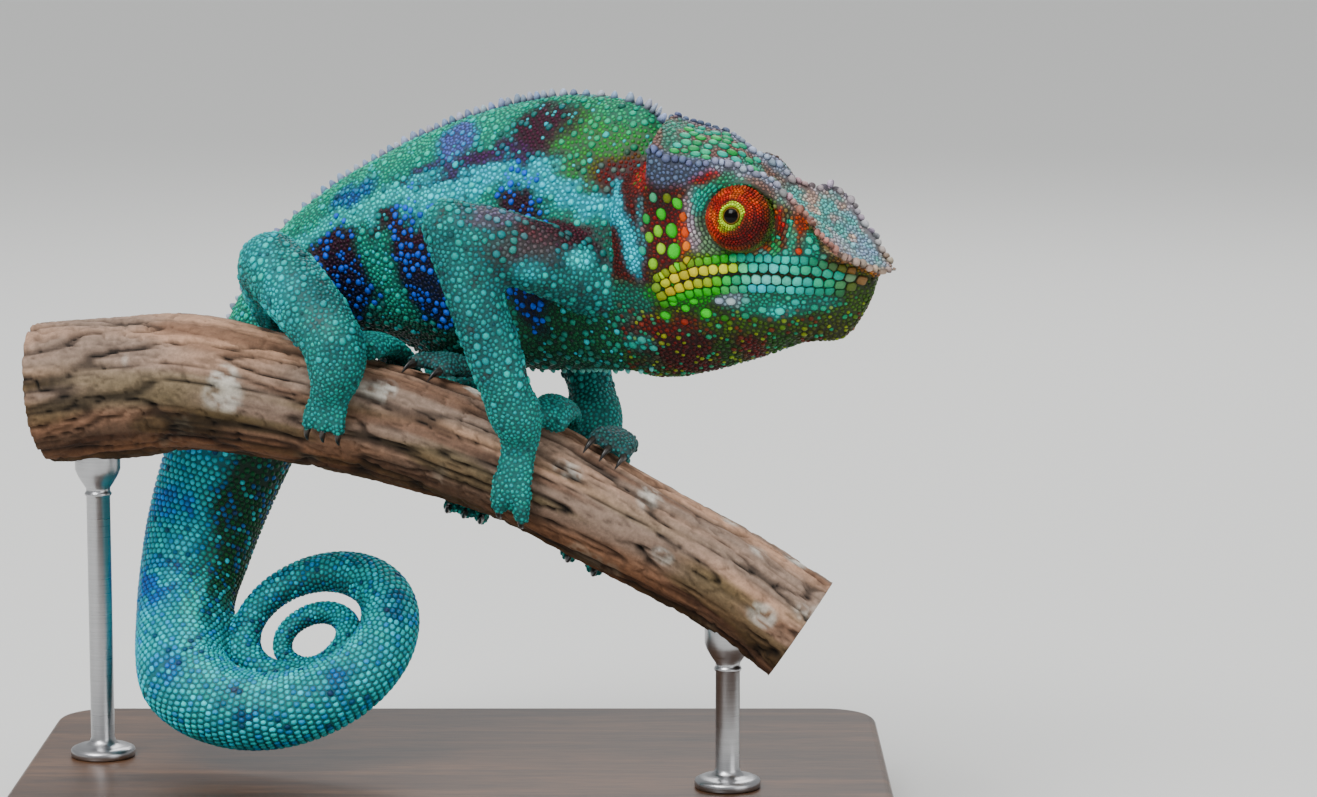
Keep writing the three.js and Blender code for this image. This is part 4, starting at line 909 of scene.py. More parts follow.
# Rows of lip plates: height off the mouth's line, half sizes, pitch, and colours at distances forward.
LIP_ROWS = [
    (1.02, (0.90, 0.86), 1.74, (2, 4, 12, 16, 17.5, 23, 26, 33, 36),
     ("7fa050", "c8c004", "d0cc04", "a8c808", "4fc4a8", "6fccc0", "1cac90", "289078", "7c5c40")),
    (2.68, (0.78, 0.76), 1.5, (2, 5, 9, 14, 17, 24, 27, 33, 36),
     ("7f9c20", "98a40c", "6f9c10", "2fa018", "06b09c", "0cb8ac", "0ca088", "5a6030", "7c5438")),
    (-1.04, (0.88, 0.86), 1.70, (2, 4, 11, 13, 17, 18.5, 24, 30, 34),
     ("708c10", "c0b004", "98b008", "48a838", "38b090", "88ccc0", "6fc4b8", "20987c", "506434")),
    (-2.76, (0.82, 0.78), 1.58, (2, 5, 12, 15, 17, 18.5, 24, 30, 34),
     ("508c0c", "48b004", "3ca008", "5fa478", "48b098", "04c0c8", "08b8b0", "188470", "405c28")),
]
# Ovals on the cheek and rounds along the jaw: place forward and up, half sizes, tilt in degrees and colour.
CHEEK_OVALS = [
    (5, 12.2, 1.05, 1.5, 0, "3fd010"), (5.1, 8.4, 1.1, 1.6, 15, "3fd010"), (3.4, 15.3, 0.85, 1.2, -10, "35b01c"),
    (6.4, 17.2, 0.85, 1.2, -15, "58b850"), (2.6, 12.1, 0.8, 1.2, 0, "8ccc18"), (0.9, 10.9, 0.75, 1.0, 0, "7fc018"),
    (1.2, 6, 0.85, 1.1, 10, "8cb81c"), (5.6, 5.6, 1.2, 0.8, 10, "7fd010"), (4.7, 18.2, 0.75, 0.95, 0, "6f8038"),
    (2.9, 8.9, 0.8, 1.1, 5, "9cc414"), (7.2, 14.6, 0.7, 1.1, 0, "d86818"), (7.3, 11.8, 0.75, 1.1, 0, "e06010"),
    (7.3, 9.2, 0.7, 1.0, 10, "e88010"), (7.4, 6.6, 0.9, 0.8, 0, "b0a818"), (2.2, 18.2, 0.7, 0.95, 0, "4f9070"),
    (0.6, 14.2, 0.7, 1.0, 0, "3fb060"), (-0.6, 8.3, 0.7, 0.9, 0, "40b8a0"), (2.7, 3.9, 0.85, 0.7, 20, "b0cc28"),
    (9.7, -3.5, 1.0, 1.05, 0, "30d00c"), (2.4, -4, 0.95, 0.85, 0, "58c818"), (6.2, -2.4, 0.8, 0.8, 0, "38b818"),
    (4.2, -1.2, 0.8, 0.7, 0, "40c010"), (7.9, -0.9, 0.8, 0.7, 0, "38b81c"), (12.4, -0.8, 0.8, 0.7, 0, "a8b4c8"),
    (14.4, -1.0, 0.9, 0.8, 0, "b8c8d0"), (17, -0.9, 0.8, 0.7, 0, "70b8b0"), (22.5, -3.5, 0.9, 0.8, 0, "20d0c0"),
    (19.6, -3.0, 0.75, 0.7, 0, "28b8a0"), (25.4, -1.8, 0.8, 0.7, 0, "28a898"), (16.5, -4.2, 0.75, 0.7, 0, "289070"),
    (12.8, -4.6, 0.75, 0.7, 0, "3f7830"), (5.6, -5.4, 0.7, 0.7, 0, "8a3018"), (28.4, -3.2, 0.7, 0.65, 0, "2f8c78"),
    (-3, -9.8, 0.85, 0.8, 0, "4f9c90"), (-5, -11.2, 0.8, 0.8, 0, "4f9c90"), (-1.2, -11.6, 0.8, 0.75, 0, "4a9488"),
    (10, 18.6, 0.8, 0.9, 0, "28c0a8"), (10.4, 16.2, 0.6, 0.8, 0, "50a890"), (28.6, 9.6, 0.7, 0.7, 0, "10c0a0"),
    (29.5, 8.2, 0.7, 0.7, 0, "18b89c"), (28.2, 7.4, 0.7, 0.6, 0, "20b8a8"), (26.6, 7.6, 0.6, 0.6, 0, "c04810"),
    (24.4, 7.6, 0.55, 0.6, 0, "38b8a0"), (23.2, 10.2, 0.45, 0.7, 0, "48c0a0"), (25.2, 12.6, 0.5, 0.7, 0, "50b8a0"),
    (32.2, 9.4, 0.6, 0.5, 0, "907858"), (34.6, 6.2, 0.6, 0.5, 0, "a07c60"), (30.6, 6.2, 0.6, 0.5, 0, "5fa088"),
]
FOLD_ROWS, FOLD_REACH, FOLD_PITCH = 4, 6.75, 0.66
BEND_FIRST, BEND_LAST, RING_PITCH = 0.33, 1.9, 1.9
for flank in (1, -1):
    # Rings of granules round each eye's pupil, every third ring darker.
    hub, ahead, above, gaze = turret_frame(flank)
    bend, ring = BEND_FIRST, 0
    while bend < BEND_LAST:
        size = 0.24 + 0.07 * ramp(bend, 0.4, 0.8) + 0.04 * ramp(bend, 1.1, 1.6)
        around = round(2 * pi * sin(bend) * EYE_RADIUS / (2.0 * size))
        turn = turns(around) + (ring % 2) * pi / around + 0.3 / around * luck.randn(around)
        spoke = np.cos(turn)[:, None] * ahead + np.sin(turn)[:, None] * above
        tilt = np.full(around, bend) + 0.010 * luck.randn(around)
        normal = gaze * np.cos(tilt)[:, None] + spoke * np.sin(tilt)[:, None]
        round_ring = -np.sin(turn)[:, None] * ahead + np.cos(turn)[:, None] * above
        light = turret_colour(tilt, turn) * (1 - 0.5 * (ring % 3 == 2)) * (0.65 + 0.7 * luck.rand(around, 1))
        add_sites(hub + normal * turret_radius(tilt)[:, None], normal, round_ring, (size * 1.02, size * 0.92),
                  size * 0.8, GRANULE, light, np.stack([tilt, turn % (2 * pi)], -1))
        bend += RING_PITCH * size / EYE_RADIUS
        ring += 1
    # Fine folds run round the turret's foot, below the crest and above the lip plates.
    for ring in range(FOLD_ROWS):
        reach = FOLD_REACH + FOLD_PITCH * ring
        around = round(2 * pi * reach / 0.98)
        turn = turns(around) + (ring % 2) * pi / around
        u = EYE[0] + reach * np.cos(turn)
        v = EYE[1] - 0.2 + reach * np.sin(turn) * np.where(np.sin(turn) < 0, 0.93, 1)
        place, normal = on_cheek(u, v, flank)
        shown = (normal @ (HEAD_OUT * flank) > 0.3) & (v > mouth_at(u) + 3.3)
        shown &= v < np.interp(u, HEAD_STATIONS, HEAD_LINES[6][0]) - 0.2
        round_eye = -np.sin(turn)[:, None] * HEAD_FORWARD + np.cos(turn)[:, None] * HEAD_UP
        lines = tint[nearest(skin_tree, place)] * (0.75 + 0.5 * luck.rand(around, 1))
        lines = mix(lines, rgb("3f8068"), ramp(np.sin(turn), 0.2, 0.8) * 0.5)
        add_sites(place[shown], normal[shown], round_eye[shown], (0.54, 0.29), 0.26, OVAL, lines[shown])
    for row, (offset, half, pitch, stops, codes) in enumerate(LIP_ROWS):
        u = np.arange(1.5 + 0.4 * row, 37.5 - 2.5 * (row % 2) - 1.5 * (row > 1), pitch)
        slope = np.gradient(mouth_at(u), u)
        place, normal = on_cheek(u, mouth_at(u) + offset * np.where(u > 30, 0.85, 1), flank)
        shade = 1 + 0.12 * (luck.rand(len(u), 1) - 0.5)
        colours = np.stack([np.interp(u, stops, c) for c in np.array([rgb(c) for c in codes]).T], -1)
        add_sites(place, normal, HEAD_FORWARD + slope[:, None] * HEAD_UP, half, 0.46, LIP, colours * shade)
    u, v, long, high, tilt = np.array([oval[:5] for oval in CHEEK_OVALS]).T
    place, normal = on_cheek(u, v, flank)
    along = HEAD_FORWARD * np.cos(np.radians(tilt))[:, None] - HEAD_UP * np.sin(np.radians(tilt))[:, None]
    add_sites(place, normal, along, np.stack([long, high], -1), 0.24 + 0.2 * long, OVAL,
              [rgb(oval[5]) for oval in CHEEK_OVALS])
    if flank > 0:
        # Ovals thrown on the flat top of the casque, clear of one another and of its edge.
        spots = []
        while len(spots) < 46:
            spot = np.array([5 + 15 * luck.rand(), 11 * luck.rand() - 5.5])
            if all(np.hypot(*(spot - other)) > 1.75 for other in spots):
                spots.append(spot)
        spots = np.array(spots)
        spots = spots[np.abs(spots[:, 1]) < np.interp(spots[:, 0], HEAD_STATIONS, HEAD_LINES[7][1]) - 1.4]
        place, normal = on_skin(head_point(spots[:, 0], 30, spots[:, 1]) - 6.5 * HEAD_UP)
        size = 0.6 + 0.35 * luck.rand(len(spots), 1)
        add_sites(place, normal, HEAD_FORWARD, size * [1.2, 0.95], 0.38, OVAL,
                  mix(rgb("3f9c58"), rgb("2fae9c"), luck.rand(len(spots))))
    # Knobbly beads along the edge of the casque and the crest over the eye and snout.
    t, edge = 3.0, []
    while t < 17.6:
        edge.append(smooth(rim_line, [t])[0])
        pace = np.linalg.norm(smooth(rim_line, [t + 0.02])[0] - edge[-1]) / 0.02
        t += (1.15 + 0.45 * luck.rand()) / pace
    edge = np.array(edge)
    edge[:, 1] += 0.35 * luck.randn(len(edge))
    edge[:, 2] += 0.3 * luck.randn(len(edge))
    place, normal = on_skin(head_point(*(edge * [1, 1, flank]).T))
    size = 0.50 + 0.32 * luck.rand(len(edge), 1)
    light = tint[nearest(skin_tree, place)] * (0.85 + 0.35 * luck.rand(len(edge), 1))
    add_sites(place, normal, np.gradient(place, axis=0), size * [1.1, 1], 0.5 + 0.25 * size[:, 0], OVAL, light)


# Cones stand in a row along the back, and smaller ones along the belly and the throat.
BACK_END, TOP_LIMIT = 10.4, 139.75
t, cones = 0.12, []
while t < BACK_END:
    middle, up, _, high, _, _ = (v[0] for v in body_section(np.array([t, t + 0.01])))
    ahead = np.linalg.norm(np.diff(body_centre(np.array([t, t + 0.01])), axis=0)) / 0.01
    size = 0.88 * (1 - 0.3 * ramp(t, 6, 11.5)) * (0.85 + 0.3 * luck.rand())
    cones.append([*(middle + up * high), size, t])
    t += 2.05 * size / ahead
cones = np.array(cones)
place, normal = on_skin(cones[:, :3])
along = np.gradient(place, axis=0)
reach = np.minimum((1.85 - 0.9 * ramp(cones[:, 4], 7, BACK_END)) * cones[:, 3], TOP_LIMIT - place[:, 2])
pale = mix(rgb("93a7c4"), rgb("c6c9d6"), luck.rand(len(cones)))
add_sites(place, unit(normal + 0.25 * unit(along)), along, cones[:, 3:4] * [1.0, 0.85], reach, CONE, pale)
t = np.arange(0.75, 5.6, 0.17)
middle, up, _, high, _, _ = body_section(t)
place, normal = on_skin(middle - up * high[:, None])
add_sites(place, normal, np.gradient(place, axis=0), (0.60, 0.50), 0.95 - 0.08 * t, CONE, rgb("7fb8b0"))
u = np.arange(-6, 35, 1.25)
place, normal = on_skin(head_point(u, np.interp(u, HEAD_STATIONS, HEAD_LINES[0][0]) - 1, 0))
add_sites(place, normal, HEAD_FORWARD, (0.55, 0.5), 0.85 - 0.012 * np.maximum(u, 0), CONE,
          mix(rgb("6f8c84"), rgb("8a6a58"), ramp(u, 20, 34)))

# Rows round the tail, one scale set between two of the row before.
t, row = 10.6, 0
while t < BODY_LAST - 0.12:
    middle, up, out, high, wide, _ = (v[0] for v in body_section(np.array([t])))
    pitch = 1.20 - 0.28 * ramp(t, 15, BODY_LAST)
    around = max(8, round(pi * (high + wide) / pitch))
    turn = turns(around) + (row % 2) * pi / around + 0.25 / around * luck.randn(around)
    ring = middle + np.outer(np.cos(turn) * high, up) + np.outer(np.sin(turn) * wide, out)
    place, normal = on_skin(ring)
    ahead = np.diff(body_centre(np.array([t, t + 0.01])), axis=0)[0]
    size = pitch * 0.52 * (0.86 + 0.28 * luck.rand(around, 1))
    add_sites(place, normal, ahead, size * [0.95, 1.02], 0.34 * size[:, 0] + 0.08, PLAIN, SKIN_COLOUR)
    t += 0.01 * pitch * 0.92 / np.linalg.norm(ahead)
    row += 1

# Everywhere else the scales are thrown at random, tubercles first, and keep their distance. The grain is a
# scale's usual width at each point of the skin, and THROWS tries are made for each square of that side.
THROWS, KNOB_SHARE = 8.5, 0.012
grain = np.full(len(skin_points), 0.70)
grain[on_limb] = 0.74
grain[feet] = 0.68
grain[part == BODY] = (0.70 + 0.4 * ramp(station, 8.5, 11))[part == BODY]
ahead, above, _ = head_place(skin_points).T
grain[on_head] = (0.62 - 0.10 * ramp(np.hypot(ahead - 16.7, above - 13.7), 14, 7))[on_head]
grain[on_head] += 0.12 * (ramp(above, -1, -5) * ramp(ahead, 40, 30))[on_head]
grain = spread(spread(grain))
corners = skin_points[skin_quads]
area = 0.5 * np.linalg.norm(np.cross(corners[:, 2] - corners[:, 0], corners[:, 3] - corners[:, 1]), axis=1)
share = area / grain[skin_quads[:, 0]] ** 2 * THROWS
face = np.repeat(np.arange(len(area)), np.floor(share + luck.rand(len(area))).astype(int))
a, b = luck.rand(2, len(face), 1)
quad = corners[face]
place = (quad[:, 0] * (1 - a) + quad[:, 1] * a) * (1 - b) + (quad[:, 3] * (1 - a) + quad[:, 2] * a) * b
vertex = skin_quads[face, (a[:, 0] > 0.5).astype(int)]
half = grain[vertex] * 0.5 * (0.9 + 0.2 * luck.rand(len(face)))
knob = luck.rand(len(face)) < KNOB_SHARE
knob_size = np.where(on_head, 1.3, 1.7)[vertex] * (0.85 + 0.3 * luck.rand(len(face)))
knob &= (grain[vertex] < 0.9) & ~feet[vertex]
half = np.where(knob, half * knob_size, half)
order = np.argsort(luck.rand(len(face)) - knob)
add_sites(place[order], normals[vertex[order]], [[0.31, 0.77, 0.55]], half[order, None] * [1, 1],
          (half * np.where(knob, 0.62, 0.48))[order], PLAIN, SKIN_COLOUR)
placed = {key: np.concatenate([np.asarray(v, float) for v in value]) for key, value in sites.items()}
placed["across"] = np.cross(placed["normal"], placed["along"])

# A kept scale removes the later ones that would overlap it. Set scales only remove one another when almost
# in the same place.
site_tree = tree_of(placed["place"])
alive = np.ones(len(placed["place"]), bool)
kept = []
first_random = len(alive) - len(face)
margin = np.where(np.arange(len(alive)) < first_random, 0.95, 1.0)
for i in range(len(alive)):
    if alive[i]:
        kept.append(i)
        half = placed["half"][i]
        near = np.array([found[1] for found in site_tree.find_range(placed["place"][i], half.max() + 0.62)])
        gap = placed["place"][near] - placed["place"][i]
        own = placed["half"][near].min(-1) * margin[i]
        x, y = gap @ placed["along"][i], gap @ placed["across"][i]
        close = (x / (half[0] + own)) ** 2 + (y / (half[1] + own)) ** 2 < 1
        close &= placed["normal"][near] @ placed["normal"][i] > 0
        close &= (near >= first_random) | ((near > i) & (np.hypot(x, y) < 0.6 * half.min()))
        alive[near[close]] = False
kept = np.array(kept)
scale = {key: value[kept] for key, value in placed.items()}

# Each scale's outline reaches half way to its neighbours, less a fine gap.
NEAR, FAR = 10, 9
scale_tree = tree_of(scale["place"])
near = np.array([[found[1] for found in scale_tree.find_n(p, NEAR + 1)][1:] for p in scale["place"]])
gap = scale["place"][near] - scale["place"][:, None]
away = np.linalg.norm(gap, axis=-1) + 1e-6
x = np.einsum("nkc,nc->nk", gap, scale["along"])
y = np.einsum("nkc,nc->nk", gap, scale["across"])
own = 1 / np.hypot(x / away / scale["half"][:, :1], y / away / scale["half"][:, 1:])
back_x = np.einsum("nkc,nkc->nk", gap, scale["along"][near]) / away
back_y = np.einsum("nkc,nkc->nk", gap, scale["across"][near]) / away
other = 1 / np.hypot(back_x / scale["half"][near][..., 0], back_y / scale["half"][near][..., 1])
facing = np.einsum("nkc,nc->nk", scale["normal"][near], scale["normal"]) > 0
limit = np.where(facing, away * own / (own + other), FAR)
toward = np.arctan2(y, x)

closest = nearest(skin_tree, scale["place"])
kind = scale["kind"]
colour = np.where(scale["colour"][:, :1] < 0, tint[closest], scale["colour"])
mean_half = scale["half"].mean(-1)
head_scale = on_head[closest] | (kind == GRANULE)
big = (kind == PLAIN) * ramp(mean_half / grain[closest], 0.62, 0.75)
bar = bars[closest] > 0.5
lighter = mix(colour * 1.3, rgb("22bcb8"), 0.28)
colour = mix(colour, lighter, big * ~head_scale * ~bar)
colour = mix(colour, colour * 1.5, big * head_scale)
# Some scales differ from their neighbours: brighter cyan, deeper blue or dark, and on the head orange, green,
# teal or wine red.
odd = luck.rand(len(colour))
on_body = (part[closest] == BODY) & (kind == PLAIN)
on_tail = on_body & (station[closest] > 9.4)
colour = mix(colour, rgb("06d0dc"), 0.7 * ramp(odd, 0.80, 0.96) * (on_tail | (on_body * (odd > 0.94))) * ~bar)
colour = mix(colour, rgb("0668b0"), 0.6 * ramp(odd, 0.24, 0.06) * on_tail)
colour = mix(colour, rgb("0e62d0"), on_body * bar * np.where(big > 0.5, 0.95, 0.8 * (odd > 0.80)))
colour = mix(colour, rgb("2c1024"), 0.75 * ramp(odd, 0.035, 0.015) * ~head_scale)
red_ground = ramp(colour[:, 0], 0.12, 0.2) * ramp(colour[:, 1], 0.06, 0.02)
plain_on_head = head_scale & (kind == PLAIN)
colour = mix(colour, rgb("c8500c"), plain_on_head * red_ground * (odd > 0.86) * 0.8)
colour = mix(colour, rgb("3a6a14"), plain_on_head * red_ground * (odd < 0.14) * 0.8)
low_head = plain_on_head * ramp(head_place(scale["place"])[:, 1], -1, -4)
colour = mix(colour, rgb("3f9c78"), low_head * (odd > 0.90) * 0.7)
colour = mix(colour, rgb("8c9c4c"), low_head * (odd > 0.78) * (odd < 0.86) * 0.6)
colour = mix(colour, rgb("5a1008"), low_head * (odd < 0.12) * 0.8)
# All are made more saturated, as the renderer's view transform softens strong colours.
light = colour @ [0.2126, 0.7152, 0.0722]
colour = np.clip(mix(light[:, None] * [1, 1, 1], colour, np.where(head_scale, 1.3, 1.5)), 0.0, 1)
strength = np.where(head_scale, 0.80, 0.68 + 0.16 * on_tail)[:, None]
colour = colour * strength * (0.74 + 0.52 * luck.rand(len(colour), 1)) * (0.92 + 0.16 * luck.rand(len(colour), 3))
given = scale["root"][:, 0] >= 0
scale_part = np.where(given, -1, part[closest])
scale_station = np.where(given, scale["root"][:, 0], station[closest])
scale_angle = np.where(given, scale["root"][:, 1], angle[closest])
# Rings from a scale's foot, sunk in the skin, to its top: share of its outline, share of its height, and painted
# shade, darkest at the foot where the scales meet.
PROFILES = {
    PLAIN: [(1, None, 0.34), (0.70, 0.74, 0.94)],
    LIP: [(1, None, 0.25), (0.97, 0.45, 0.62), (0.86, 0.90, 1.0)],
    OVAL: [(1, None, 0.30), (0.92, 0.45, 0.75), (0.62, 0.90, 1.0)],
    CONE: [(1, None, 0.40), (0.78, 0.45, 0.85), (0.42, 0.85, 1.0)],
    GRANULE: [(1, None, 0.40), (0.70, 0.74, 0.95)],
}
# A scale's top point is painted lighter than its rings, as a painted highlight.
TOP_HIGHLIGHT, BAKE_PATCH = 1.12, 0.003


def add_scales(name, chosen, rim=7):
    """One coat piece of the chosen scales, with its bake map: a small patch at each scale's root."""
    i = np.flatnonzero(chosen)
    of_kind = int(kind[i[0]])
    is_round = of_kind in (PLAIN, GRANULE)
    phase = luck.rand(len(i), 1) * 2 * pi / rim if is_round else pi / rim
    turn = turns(rim)[None] + phase + np.zeros((len(i), 1))
    spoke = np.cos(turn[:, None] - toward[i][..., None])
    reach = np.where(spoke > 0.2, limit[i][..., None] / np.maximum(spoke, 0.2), FAR).min(1)
    power = 6.0 if of_kind == LIP else 2.0
    shape = (np.abs(np.cos(turn) / scale["half"][i, :1]) ** power
             + np.abs(np.sin(turn) / scale["half"][i, 1:]) ** power) ** (-1 / power)
    reach = np.minimum(reach * 0.955, shape * (1.3 if is_round else 1.06))
    spread_out = reach[..., None] * (np.cos(turn)[..., None] * scale["along"][i, None]
                                     + np.sin(turn)[..., None] * scale["across"][i, None])
    place, normal, height = scale["place"][i, None], scale["normal"][i, None], scale["height"][i, None, None]
    lean = scale["along"][i, None] * (-0.4 * mean_half[i, None, None] * (of_kind == CONE))
    rings, painted_shades, flat = [], [], []
    for share, level, shade in PROFILES[of_kind]:
        up = -0.10 - 0.12 * mean_half[i, None, None] if level is None else height * level
        rings.append(place + spread_out * share + normal * up + lean * (level or 0))
        painted_shades += [shade] * rim
        flat.append(share * np.stack([np.cos(turn), np.sin(turn)], -1))
    points = np.concatenate([*rings, place + normal * height + lean], 1)
    size, levels = points.shape[1], len(rings)
    starts = np.arange(len(i))[:, None, None] * size
    k = np.arange(rim)
    sides = np.concatenate([np.stack([k, (k + 1) % rim, (k + 1) % rim + rim, k + rim], -1) + level * rim
                            for level in range(levels - 1)])
    top = np.stack([k, (k + 1) % rim, np.full(rim, rim)], -1) + (levels - 1) * rim
    faces = [(sides[None] + starts).reshape(-1, 4), (top[None] + starts).reshape(-1, 3),
             (k[None, None, ::-1] + starts).reshape(-1, rim)]
    piece = make_object(name, points.reshape(-1, 3), faces, scale_paint)
    # Each ring takes its painted shade and the top point its painted highlight.
    painted_shades = np.array(painted_shades + [TOP_HIGHLIGHT])[None, :, None]
    paint(piece, (colour[i, None] * painted_shades).reshape(-1, 3))
    # Each part of the animal has a strip of the map, with its length across and its angle up.
    root = np.zeros((len(i), 2))
    strips = np.unique(scale_part[i])
    for strip, number in enumerate(strips):
        mine = scale_part[i] == number
        along = scale_station[i][mine]
        low, high = along.min(), max(along.max(), along.min() + 0.01)
        root[mine, 0] = (strip + 0.04 + 0.92 * (along - low) / (high - low)) / len(strips)
        root[mine, 1] = 0.01 + 0.98 * (scale_angle[i][mine] % (2 * pi)) / (2 * pi)
    flat = np.concatenate([*flat, np.zeros((len(i), 1, 2))], 1) * BAKE_PATCH / 2
    add_uv(piece, "OFBake", (root[:, None] + flat).reshape(-1, 2))
    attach(piece, "root")


scale_paint = painted_material("scales", 0.45, 0.22, 3200, 0.00006, 0.12)
flank_out = head_place(scale["place"])[:, 2]
plain_head = head_scale & (kind == PLAIN)
add_scales("scales_head_right", plain_head & (flank_out > 0))
add_scales("scales_head_left", plain_head & (flank_out <= 0))
add_scales("plates_of_lips", kind == LIP, 16)
add_scales("ovals_and_crest_beads", kind == OVAL, 12)
add_scales("cones_of_back_and_throat", kind == CONE, 8)
add_scales("scales_eyelid_right", (kind == GRANULE) & (flank_out > 0))
add_scales("scales_eyelid_left", (kind == GRANULE) & (flank_out <= 0))
body_scale = (scale_part == BODY) & (kind == PLAIN)
right_side = (scale_angle % (2 * pi)) > pi
for name, low, high in (("neck_and_shoulders", -1, 3.4), ("trunk", 3.4, 6.2), ("loins", 6.2, 9.6)):
    chosen = body_scale & (scale_station >= low) & (scale_station < high)
    add_scales(f"scales_{name}_right", chosen & right_side)
    add_scales(f"scales_{name}_left", chosen & ~right_side)
for name, low, high in (("tail_base", 9.6, 13), ("tail", 13, 17.5), ("tail_coil", 17.5, 99)):
    add_scales(f"scales_{name}", body_scale & (scale_station >= low) & (scale_station < high))
for side_name in ("right", "left"):
    for name, words in (("arm", ("arm", "hand", "fingers")), ("leg", ("thigh", "shin", "foot", "toes"))):
        numbers = [k for k, p in enumerate(PARTS) if p.split("_")[0] in words and p.endswith(side_name)]
        add_scales(f"scales_{name}_{side_name}", np.isin(scale_part, numbers) & (kind == PLAIN))

# ---- eyes ----
# Each eye is a dark ball behind a turret of fused lids that leaves only the pupil open. The lids are skin,
# and the ball is smooth, with a thin brown iris at the edge of the opening.
EYE_AROUND, LID_RINGS, TURRET_DEEP = 96, 44, 3.2
LID_EDGE = np.array([(0.255, 0.75), (0.263, 0.35), (0.28, 0.08), (0.30, 0), (0.33, 0)])  # angle, roll inwards
BALL_FORWARD, BALL_RADIUS = 3.9, 2.3
ball_paint = painted_material("eyeball", 0.10, 0.12, 4000, 0.00001, 0.08)
lid_paint = painted_material("eyelid", 0.6, 0.3, 3500, 0.00008, 0.2)


def gaze_rings(middle, gaze, spoke, bend, radius):
    """Rings of points round the gaze, at angles off it and a radius away from a middle."""
    return middle + gaze * (np.cos(bend) * radius)[:, None, None] + spoke * (np.sin(bend) * radius)[:, None, None]


for flank, side_name in ((1, "right"), (-1, "left")):
    hub, ahead, above, gaze = turret_frame(flank)
    turn = turns(EYE_AROUND)
    spoke = np.cos(turn)[:, None] * ahead + np.sin(turn)[:, None] * above
    bend = np.concatenate([LID_EDGE[:, 0], np.linspace(0.36, 2.0, LID_RINGS)])
    radius = turret_radius(bend) - np.concatenate([LID_EDGE[:, 1], np.zeros(LID_RINGS)]) - 0.05
    rings = gaze_rings(hub, gaze, spoke, bend, radius + 0.03 * np.sin(bend * 62))
    points = np.concatenate([rings.reshape(-1, 3), [hub - gaze * TURRET_DEEP]])
    last = (len(bend) - 1) * EYE_AROUND + np.arange(EYE_AROUND)
    cap = np.stack([last, np.roll(last, -1), np.full(EYE_AROUND, len(points) - 1)], -1)
    faces = [grid_faces(len(bend), EYE_AROUND)[:, ::-flank], cap[:, ::-flank]]
    turret = make_object(f"eye_turret_{side_name}", points, faces, lid_paint)
    bends = np.repeat(bend, EYE_AROUND)
    # The lid skin is painted at a third of its colour, as painted shade in the gaps between its granules and where
    # its edge rolls in at the opening; only a band at the lid's edge is painted brighter.
    shade = 0.32 + 0.3 * (bends < 0.33) - 0.3 * (bends < 0.27)
    lid_colour = turret_colour(bends, np.tile(turn, len(bend))) * shade[:, None]
    paint(turret, np.concatenate([lid_colour, [[0.02, 0.02, 0.02]]]))
    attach(turret, "root")
    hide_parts(f"eye_turret_{side_name}")

    bend = np.concatenate([[0.02], np.linspace(0.06, 1.5, 30), [2.2, 3.0]])
    points = gaze_rings(hub + gaze * BALL_FORWARD, gaze, spoke, bend, BALL_RADIUS).reshape(-1, 3)
    faces = [part_faces[:, ::-flank] for part_faces in capped(len(bend), EYE_AROUND)]
    ball = make_object(f"eyeball_{side_name}", points, faces, ball_paint)
    bends = np.repeat(bend, EYE_AROUND)
    iris = mix(rgb("040303"), rgb("6a4c10"), ramp(bends, 0.56, 0.60))
    paint(ball, mix(iris, rgb("120c08"), ramp(bends, 0.66, 0.72)))
    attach(ball, "root")
    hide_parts(f"eyeball_{side_name}")


# ---- claws ----
# A curved claw of dark horn grows from each toe's end and bites into the bark.
CLAW_RINGS, CLAW_AROUND, CLAW_ROOT, CLAW_TIP = 9, 12, -0.5, 2.8
points, faces, count = [], [], 0
for bundle, aside in claw_roots:
    for share in np.linspace(0, 1, CLAW_RINGS):
        size = 0.78 * (1 - share) ** 0.75 + 0.07
        lift = mix(TIP_THICK + 0.35, 0.55, share) + 0.5 * sin(pi * share)
        points.append(bundle_ring(
            bundle, 1.0, mix(CLAW_ROOT, CLAW_TIP, share), aside, lift, size * 1.1, size * 0.8, CLAW_AROUND))
    faces += capped(CLAW_RINGS, CLAW_AROUND, count)
    count += CLAW_RINGS * CLAW_AROUND
claw_paint = painted_material("claw", 0.3, 0.5, 1800, 0.00004, 0.3)
claws = make_object("claws", np.concatenate(points), faces, claw_paint)
solid = bmesh.new()
solid.from_mesh(claws.data)
bmesh.ops.recalc_face_normals(solid, faces=solid.faces)
solid.to_mesh(claws.data)
solid.free()
share = np.tile(np.repeat(np.linspace(0, 1, CLAW_RINGS), CLAW_AROUND), len(claw_roots))
paint(claws, mix(rgb("2a2622"), rgb("0c0a09"), ramp(share, 0.2, 0.8)))
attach(claws, "root")


# ---- stand ----
# A low walnut base with an eased edge and two turned steel rods, screwed in from below. Each rod has a
# flat foot and a cup in which the branch lies. None of it belongs to the animal.
walnut, add, shader = new_material("walnut", 0.38, 0.4)
place = add("TexCoord").outputs["Object"]
figure = add("TexNoise", Vector=add("Mapping", Vector=place, Scale=(12, 150, 150)),
             Scale=1, Detail=8, Roughness=0.6, Distortion=0.8)
pores = add("TexNoise", Vector=add("Mapping", Vector=place, Scale=(180, 2600, 2600)), Scale=1, Detail=3)
wood = two_tone(add, figure, (0.030, 0.013, 0.006), (0.150, 0.070, 0.032), (0.30, 0.72))
pore_tone = add("MapRange", Value=pores, From_Min=0.35, From_Max=0.55, To_Min=0.55, To_Max=1.0)
set_node(shader, Coat_Weight=0.25, Coat_Roughness=0.25,
         Base_Color=add("VectorMath", operation="SCALE", Vector=wood, Scale=pore_tone),
         Normal=add("Bump", Strength=0.25, Distance=0.0001, Height=pores))

